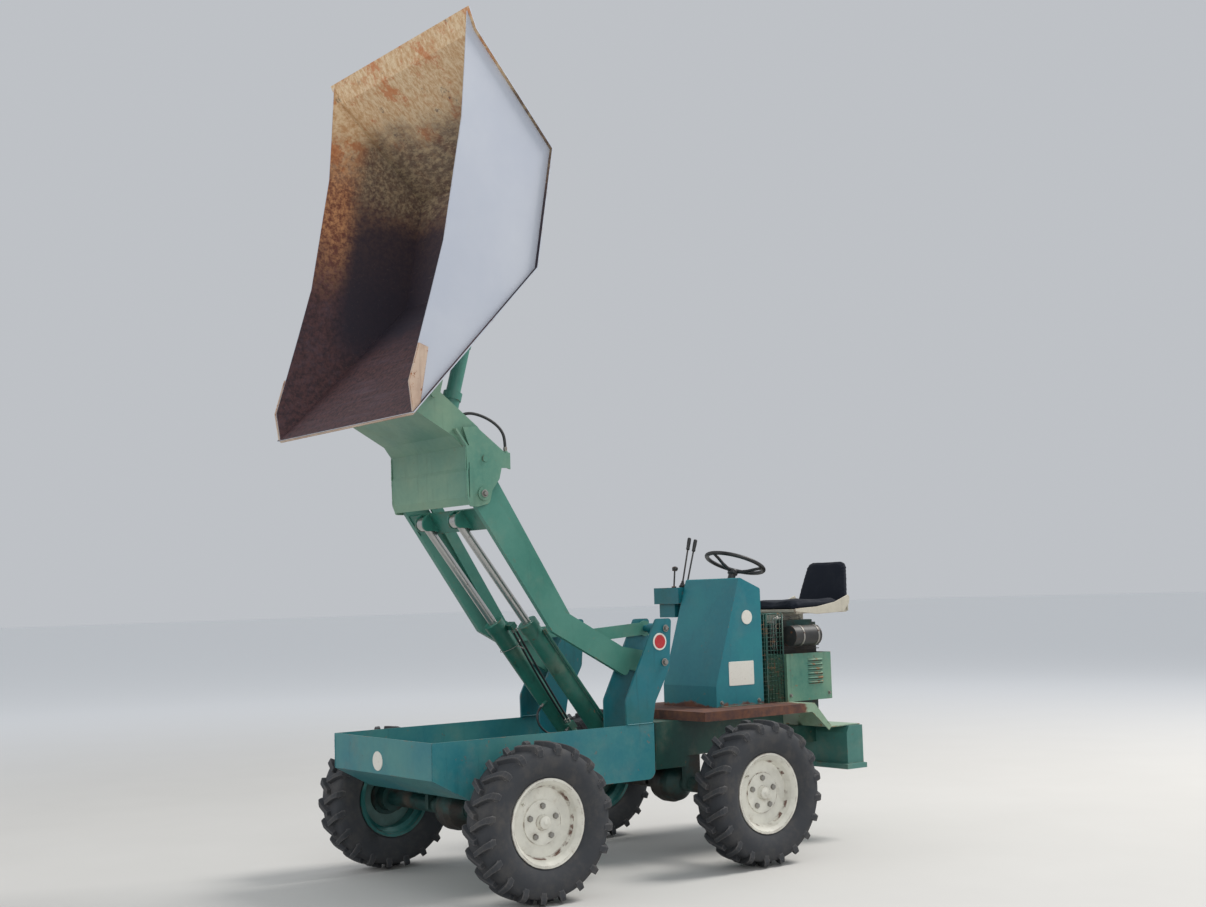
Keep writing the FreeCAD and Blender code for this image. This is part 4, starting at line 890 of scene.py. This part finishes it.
def make_seams():
    """Weld beads along the main seams and round the skip's side plates."""
    for body, rows in SEAMS.items():
        mesh = bmesh.new()
        for seed, (start, end, radius) in enumerate(rows):
            for side in (1, -1):
                bead(mesh, mirrored(start, side), mirrored(end, side), radius, seed * 2 + side)
        piece("weld_seams_" + body, mesh, SEAM_MATERIALS[body], body)
    mesh = bmesh.new()
    for seed, (a, b) in enumerate(zip(SKIP_WRAP, SKIP_WRAP[1:])):
        for side in (1, -1):
            start, end = [on_skip(run, rise, 0.001, side) for run, rise in (a, b)]
            inset = (end - start).normalized() * 0.012
            bead(mesh, start + inset, end - inset, 0.0050, SKIP_SEAM_SEED + seed * 2 + side)
    piece("weld_seams_skip", mesh, "skip_white", "skip")


# Tall levers: top of the grip and foot of the stick; the short lever's ball
LEVERS = [
    (at(-0.300, 1.158, 1.762), at(-0.300, 1.085, 1.466)),
    (at(-0.270, 1.180, 1.750), at(-0.270, 1.095, 1.466)),
]
BALL_FOOT = at(-0.330, 1.060, 1.566)
GRIP = [(0.0, 0.006), (0.002, 0.0095), (0.006, 0.0112), (0.030, 0.0116), (0.060, 0.0102), (0.070, 0.0112),
        (0.074, 0.0095), (0.076, 0.006)]
BOOT = [(0.0, 0.019), (0.008, 0.018), (0.014, 0.013), (0.022, 0.0125), (0.027, 0.009), (0.036, 0.0085),
        (0.040, 0.0055)]
BALL = [(0.0, 0.008), (0.002, 0.0125), (0.006, 0.0165), (0.013, 0.0185), (0.020, 0.0165), (0.0245, 0.0115),
        (0.0265, 0.006)]


def make_lever_grips():
    """Moulded grips and boots on the tall levers and a ball on the short one."""
    mesh = bmesh.new()
    for tip, foot in LEVERS:
        down = (foot - tip).normalized()
        turn(mesh, tip - down * 0.001, down, GRIP, 24)
        turn(mesh, foot - down * 0.001, -down, BOOT, 20)
    turn(mesh, BALL_FOOT, (0, 0.08, 1), BALL, 24)
    piece("lever_grips", mesh, "plastic", "rear_chassis")


# Engine: half width and span in y; rocker covers' front, rear, foot and top; x and z of the round parts' axes
ENGINE_HALF = 0.170
ENGINE_FRONT = 1.440
ENGINE_REAR = 1.720
ROCKER_COVER = (1.460, 1.700, 1.239, 1.256)
FILTER_AXIS = (0.230, 1.165)
SILENCER_AXIS = (-0.222, 1.150)
FIN_COUNT = 8
FIN_FOOT = 1.082
FIN_PITCH = 0.019
FIN_REACH = 0.012
SILENCER = [(0.0, 0.014), (0.0, 0.034), (0.006, 0.040), (0.012, 0.042), (0.200, 0.042), (0.206, 0.040),
            (0.212, 0.034), (0.212, 0.016), (0.250, 0.016), (0.250, 0.013)]
# Bands round the filter and the silencer: axis, start in y, inner and outer radius, width, steps
BANDS = [(FILTER_AXIS, 1.505, 0.0605, 0.0620, 0.012, 40), (FILTER_AXIS, 1.625, 0.0605, 0.0620, 0.012, 40),
         (SILENCER_AXIS, 1.495, 0.0425, 0.0445, 0.014, 36), (SILENCER_AXIS, 1.650, 0.0425, 0.0445, 0.014, 36)]
# Injectors: x and y. Their pipes: y behind the injector, then behind the engine's front, and z
INJECTORS = [(0.112, 1.500), (0.128, 1.560), (0.144, 1.620)]
PIPE_TOP = [(0.0, 1.254), (0.0, 1.268), (-0.010, 1.277), (-0.030, 1.278)]
PIPE_DOWN = [(-0.004, 1.268), (-0.019, 1.252), (-0.021, 1.230), (-0.021, 1.100), (-0.012, 1.074),
             (0.002, 1.068)]


def make_engine_fittings():
    """Cooling fins, rocker covers, silencer, filter clamps and injector pipes on the engine block."""
    mesh = bmesh.new()
    reach = ENGINE_HALF + FIN_REACH
    for index in range(FIN_COUNT):
        z = FIN_FOOT + FIN_PITCH * index
        bar(mesh, -reach, reach, ENGINE_FRONT - FIN_REACH, ENGINE_REAR + FIN_REACH, z, z + 0.004)
    front, rear, low, high = ROCKER_COVER
    for side in (1, -1):
        bar(mesh, side * 0.096, side * 0.162, front, rear, low, high)
    x, z = SILENCER_AXIS
    turn(mesh, at(x, 1.470, z), (0, 1, 0), SILENCER, 36)
    sweep(mesh, [at(-0.165, 1.560, z), at(x, 1.560, z)], 0.021, 20)
    for y in (ENGINE_FRONT - 0.003, ENGINE_REAR - 0.007):
        bar(mesh, -0.150, 0.150, y, y + 0.010, 0.830, 1.050)
    piece("engine_fins", mesh, "iron", "rear_chassis", smooth=False)
    mesh = bmesh.new()
    for (x, z), y, inner, outer, width, steps in BANDS:
        section = [(0.0, inner), (0.0, outer), (width, outer), (width, inner)]
        turn(mesh, at(x, y, z), (0, 1, 0), section, steps)
    for x, y in INJECTORS:
        sweep(mesh, [at(x, y + back, z) for back, z in PIPE_TOP]
              + [at(x, ENGINE_FRONT + back, z) for back, z in PIPE_DOWN], 0.0032, 10)
        bolt(mesh, at(x, y, 1.255), (0, 0, 1), 0.013)
    piece("engine_fittings", mesh, "zinc", "rear_chassis")


# Side mesh: x of its plane, front, rear, foot and top of its frame, distance between wires
GUARD_X = 0.2215
GUARD_FRAME = (1.223, 1.402, 0.787, 1.298)
MESH_PITCH = 0.025


def make_guards():
    """Welded wire mesh that closes both sides between the console and the engine cover."""
    mesh = bmesh.new()
    front, rear, low, high = GUARD_FRAME
    for side in (1, -1):
        x = side * GUARD_X
        outer = x + side * 0.0032
        corners = [at(x, front + 0.004, low), at(x, front + 0.004, high), at(x, rear - 0.004, high),
                   at(x, rear - 0.004, low)]
        for start, end in zip(corners, corners[1:]):
            sweep(mesh, [start, end], 0.0048, 8)
        for row in range(1, int((high - low) / MESH_PITCH)):
            z = low + row * MESH_PITCH
            sweep(mesh, [at(x, front, z), at(x, rear, z)], 0.0019, 6)
        for column in range(1, int((rear - front) / MESH_PITCH)):
            y = front + column * MESH_PITCH
            sweep(mesh, [at(outer, y, low), at(outer, y, high)], 0.0019, 6)
    piece("side_mesh_guards", mesh, "frame", "rear_chassis")


LOUVRE_COUNT = 6
LOUVRE_FACE = 0.245
LOUVRE_SPAN = (1.570, 1.694)
LOUVRE_TOP = 0.896
LOUVRE_PITCH = 0.026
# Section of a hood: distance out from the cover's face, height from the slot's top
LOUVRE_HOOD = [(-0.001, 0.003), (0.007, -0.005), (0.008, -0.010), (0.0065, -0.010), (0.0055, -0.0055),
               (-0.001, 0.001)]


def make_louvres():
    """Pressed hoods over the cover's slots."""
    mesh = bmesh.new()
    front, rear = LOUVRE_SPAN
    for index in range(LOUVRE_COUNT):
        top = LOUVRE_TOP + index * LOUVRE_PITCH
        rows = [[at(LOUVRE_FACE + out * reach, y, top + rise) for out, rise in LOUVRE_HOOD]
                for y, reach in ((front, 0.0), (front + 0.010, 1.0), (rear - 0.010, 1.0), (rear, 0.0))]
        skin(mesh, rows, caps=False)
    piece("cover_louvres", mesh, "cover", "rear_chassis")


# Stiffening plate at the skip's pouring corner: run and rise in the skip's side view
CORNER_PLATE = [(-0.884, 0.609), (-0.8387, 0.5778), (-0.5613, 0.5770), (-0.5545, 0.6316), (-0.743, 0.655)]
CORNER_WALL = 0.012
# Bar under the pouring lip: distance from the lip along the chute, distance above its outer face
LIP_BAR = [(-0.001, 0.002), (0.050, 0.002), (0.050, -0.010), (-0.001, -0.010)]


def make_corner_plates():
    """Bar under the pouring lip and the plates at its corners."""
    mesh = bmesh.new()
    lip = Vector(SKIP_WRAP[0])
    chute = (Vector(SKIP_WRAP[1]) - lip).normalized()
    edge = [lip + chute * distance + Vector((-chute.y, chute.x)) * rise for distance, rise in LIP_BAR]
    skin(mesh, [[on_skip(*place, -0.001, side) for place in edge] for side in (1, -1)])
    for side in (1, -1):
        skin(mesh, [[on_skip(*place, out, side) for place in CORNER_PLATE] for out in (-0.001, CORNER_WALL)])
    piece("skip_corner_plates", mesh, "rusty_lip", "skip", smooth=False)


# Squab: front, rear, foot and top; backrest's foot and top; all measured from the middle of the wheelbase
SQUAB_SPAN = (1.500, 1.921, 1.3183, 1.380)
BACK_FOOT = Vector((0.0, 1.9253, 1.3185))
BACK_TOP = Vector((0.0, 1.9990, 1.6140))
# Squab's sections: y from its front, half width, foot and top above the pan
SQUAB_SECTIONS = [(0.012, 0.185, 0.004, 0.018), (0.040, 0.206, 0.004, 0.036), (0.120, 0.212, 0.006, 0.0397),
                  (0.260, 0.210, 0.006, 0.0377), (0.371, 0.206, 0.006, 0.0437), (0.409, 0.190, 0.008, 0.0457)]
# Backrest's sections from foot to top: share of the height, half width, start and end of its thickness
BACK_SECTIONS = [(0.03, 0.196, 0.012, 0.030), (0.12, 0.205, 0.007, 0.033), (0.35, 0.196, 0.006, 0.034),
                 (0.65, 0.178, 0.006, 0.034), (0.87, 0.162, 0.007, 0.033), (0.95, 0.146, 0.009, 0.031),
                 (0.985, 0.118, 0.013, 0.027)]
# Side of the seat pan: y and z from the squab's front foot, at its outer corners
PAN_SIDE = [(0.0, -0.014), (0.0, 0.004), (0.180, 0.012), (0.330, 0.036), (0.446, 0.078), (0.458, 0.062),
            (0.452, 0.024), (0.400, -0.024), (0.180, -0.032)]
PAN_HALF = 0.2255
PAN_WALL = 0.007
VOXEL = 0.006
CLOTH_FRAMES = 20
CLOTH_PRESSURE = 4.0


def baked(obj):
    """Apply the object's modifiers to its mesh."""
    graph = bpy.context.evaluated_depsgraph_get()
    data = bpy.data.meshes.new_from_object(obj.evaluated_get(graph))
    obj.modifiers.clear()
    obj.data = data


def inflate(obj, reach):
    """Blow the form up as cloth, each point moving no further than reach."""
    remesh = obj.modifiers.new("even_mesh", "REMESH")
    remesh.mode = "VOXEL"
    remesh.voxel_size = VOXEL
    baked(obj)
    start = [vertex.co.copy() for vertex in obj.data.vertices]
    cloth = obj.modifiers.new("stuffing", "CLOTH")
    cloth.settings.use_pressure = True
    cloth.settings.uniform_pressure_force = CLOTH_PRESSURE
    cloth.settings.effector_weights.gravity = 0.0
    scene = bpy.context.scene
    for step in range(1, CLOTH_FRAMES + 1):
        scene.frame_set(step)
    baked(obj)
    scene.frame_set(1)
    for vertex, before in zip(obj.data.vertices, start):
        shift = vertex.co - before
        if shift.length > reach:
            vertex.co = before + shift.normalized() * reach


def make_cushion(node, sections, reach, lowest):
    """Stuffed cushion through sections, in the place of its solid; no point lies under lowest."""
    mesh = bmesh.new()
    skin(mesh, sections)
    cushion = piece(node + "_cushion", mesh, "cloth", "rear_chassis", replaces=node)
    inflate(cushion, reach)
    for vertex in cushion.data.vertices:
        vertex.co.z = max(vertex.co.z, lowest)
    dress(cushion, MATERIALS["cloth"])
    cushion.data.shade_smooth()
    smooth = cushion.modifiers.new("finer", "SUBSURF")
    smooth.levels = smooth.render_levels = 1


def make_seat():
    """Cushions blown up as cloth, and the pan's rising sides."""
    front, rear, low, high = SQUAB_SPAN
    sections = []
    for y, half, foot, top in SQUAB_SECTIONS:
        middle = (foot + top) / 2
        sections.append([at(x, front + y, low + z) for x, z in (
            (-half, foot), (-half - 0.004, middle), (-half, top), (-half * 0.72, top + 0.006),
            (0.0, top - 0.004), (half * 0.72, top + 0.006), (half, top), (half + 0.004, middle), (half, foot),
            (0.0, foot))])
    make_cushion("seat_squab", sections, 0.012, low + 0.0005)
    up = BACK_TOP - BACK_FOOT
    behind = Vector((0.0, up.z, -up.y)).normalized()
    sections = []
    for share, half, near, far in BACK_SECTIONS:
        middle = (near + far) / 2
        base = BACK_FOOT + up * share + Vector((0.0, ROW_SHIFT, 0.0))
        sections.append([base + Vector((x, 0.0, 0.0)) + behind * depth for x, depth in (
            (-half, near), (-half * 0.6, near - 0.001), (0.0, near + 0.003), (half * 0.6, near - 0.001),
            (half, near), (half + 0.003, middle), (half, far), (0.0, far), (-half, far),
            (-half - 0.003, middle))])
    make_cushion("seat_back", sections, 0.008, 0.0)
    mesh = bmesh.new()
    outline = moved([(front + y, low + z) for y, z in PAN_SIDE])
    for side in (1, -1):
        slab(mesh, outline, side * PAN_HALF, side * (PAN_HALF + PAN_WALL))
    bar(mesh, -PAN_HALF, PAN_HALF, front - 0.004, front + 0.022, low - 0.016, low - 0.001)
    bar(mesh, -PAN_HALF, PAN_HALF, 1.944, 1.952, low - 0.020, low + 0.030)
    rolled_edges(piece("seat_pan_sides", mesh, "pan", "rear_chassis", smooth=False), 0.0022)


FLOOR_SIZE = 150.0


def add_floor():
    """Plain pale studio floor, painted paler far from the machine as painted light that lifts the unlit far
    floor to the backdrop.
    """
    g = Graph("studio_floor")
    tone = g.mix(g.noise(1.2, 3), (0.56, 0.55, 0.53), (0.60, 0.59, 0.57))
    # Painted light: the far floor, out of the lamps' reach, is painted paler
    far = g.band(g.vector("LENGTH", g.coords["Object"])["Value"], 4.0, 16.0)
    material = g.finish(g.mix(far, tone, (0.93, 0.94, 0.96)), 0.85)
    mesh = bmesh.new()
    bmesh.ops.create_grid(mesh, x_segments=2, y_segments=2, size=FLOOR_SIZE)
    data = bpy.data.meshes.new("floor")
    mesh.to_mesh(data)
    mesh.free()
    floor = link("floor", data)
    dress(floor, material)


# Soft rectangular studio lights: place, target, size, power, colour
LIGHTS = {
    "key": ((2.5, 7.0, 10.0), (0, 0, 1.5), (4, 4), 1150, (1.0, 0.97, 0.93)),
    "fill": ((10.0, -5.0, 5.0), (0, 0, 1.5), (7, 6), 330, (1.0, 1.0, 1.0)),
    "front": ((-4.0, -9.0, 5.0), (0, 0, 1.8), (5, 5), 200, (1.0, 1.0, 1.0)),
}
AMBIENT_COLOR = (0.92, 0.96, 1.0, 1.0)
AMBIENT_STRENGTH = 0.56
BACKDROP_COLOR = (0.515, 0.535, 0.565, 1.0)


def add_lights():
    """Even light from the world, a pale backdrop where it is seen, and the studio lights."""
    world = bpy.data.worlds.new("studio")
    world.use_nodes = True
    tree = world.node_tree
    ambient = tree.nodes["Background"]
    ambient.inputs["Color"].default_value = AMBIENT_COLOR
    ambient.inputs["Strength"].default_value = AMBIENT_STRENGTH
    backdrop = tree.nodes.new("ShaderNodeBackground")
    backdrop.inputs["Color"].default_value = BACKDROP_COLOR
    path = tree.nodes.new("ShaderNodeLightPath")
    seen = tree.nodes.new("ShaderNodeMath")
    seen.operation = "MAXIMUM"
    choice = tree.nodes.new("ShaderNodeMixShader")
    tree.links.new(path.outputs["Is Camera Ray"], seen.inputs[0])
    tree.links.new(path.outputs["Is Glossy Ray"], seen.inputs[1])
    for source, socket in zip((seen, ambient, backdrop), choice.inputs):
        tree.links.new(source.outputs[0], socket)
    tree.links.new(choice.outputs[0], tree.nodes["World Output"].inputs["Surface"])
    bpy.context.scene.world = world
    for name, (place, target, size, power, color) in LIGHTS.items():
        light = bpy.data.lights.new(name, "AREA")
        light.shape = "RECTANGLE"
        light.size, light.size_y = size
        light.energy = power
        light.color = color
        obj = link(name, light)
        obj.location = place
        obj.rotation_euler = (Vector(target) - Vector(place)).to_track_quat("-Z", "Y").to_euler()


def add_camera():
    """Camera where the photograph was taken."""
    level = math.cos(CAMERA_PITCH)
    sight = Vector((-math.sin(CAMERA_AZIMUTH) * level, math.cos(CAMERA_AZIMUTH) * level,
                    math.sin(CAMERA_PITCH)))
    right = Matrix.Rotation(CAMERA_ROLL, 3, sight) @ sight.cross(Vector((0, 0, 1))).normalized()
    data = bpy.data.cameras.new("camera")
    data.lens = 36.0 * FOCAL_PIXELS / PHOTO_WIDTH
    data.clip_end = 200.0
    camera = link("camera", data)
    rotation = Matrix((right, right.cross(sight), -sight)).transposed().to_4x4()
    camera.matrix_world = Matrix.Translation(CAMERA_PLACE) @ rotation
    bpy.context.scene.camera = camera


bpy.context.scene.view_settings.view_transform = "Standard"
for make in (add_camera, make_hoses, make_hose_fittings, add_floor, add_lights, dress_nodes, make_tyres,
             make_tie_wire, make_wheel_fittings, make_steering_wheel, make_signs, make_bolts, make_seams,
             make_lever_grips, make_engine_fittings, make_guards, make_louvres, make_corner_plates, make_seat):
    make()
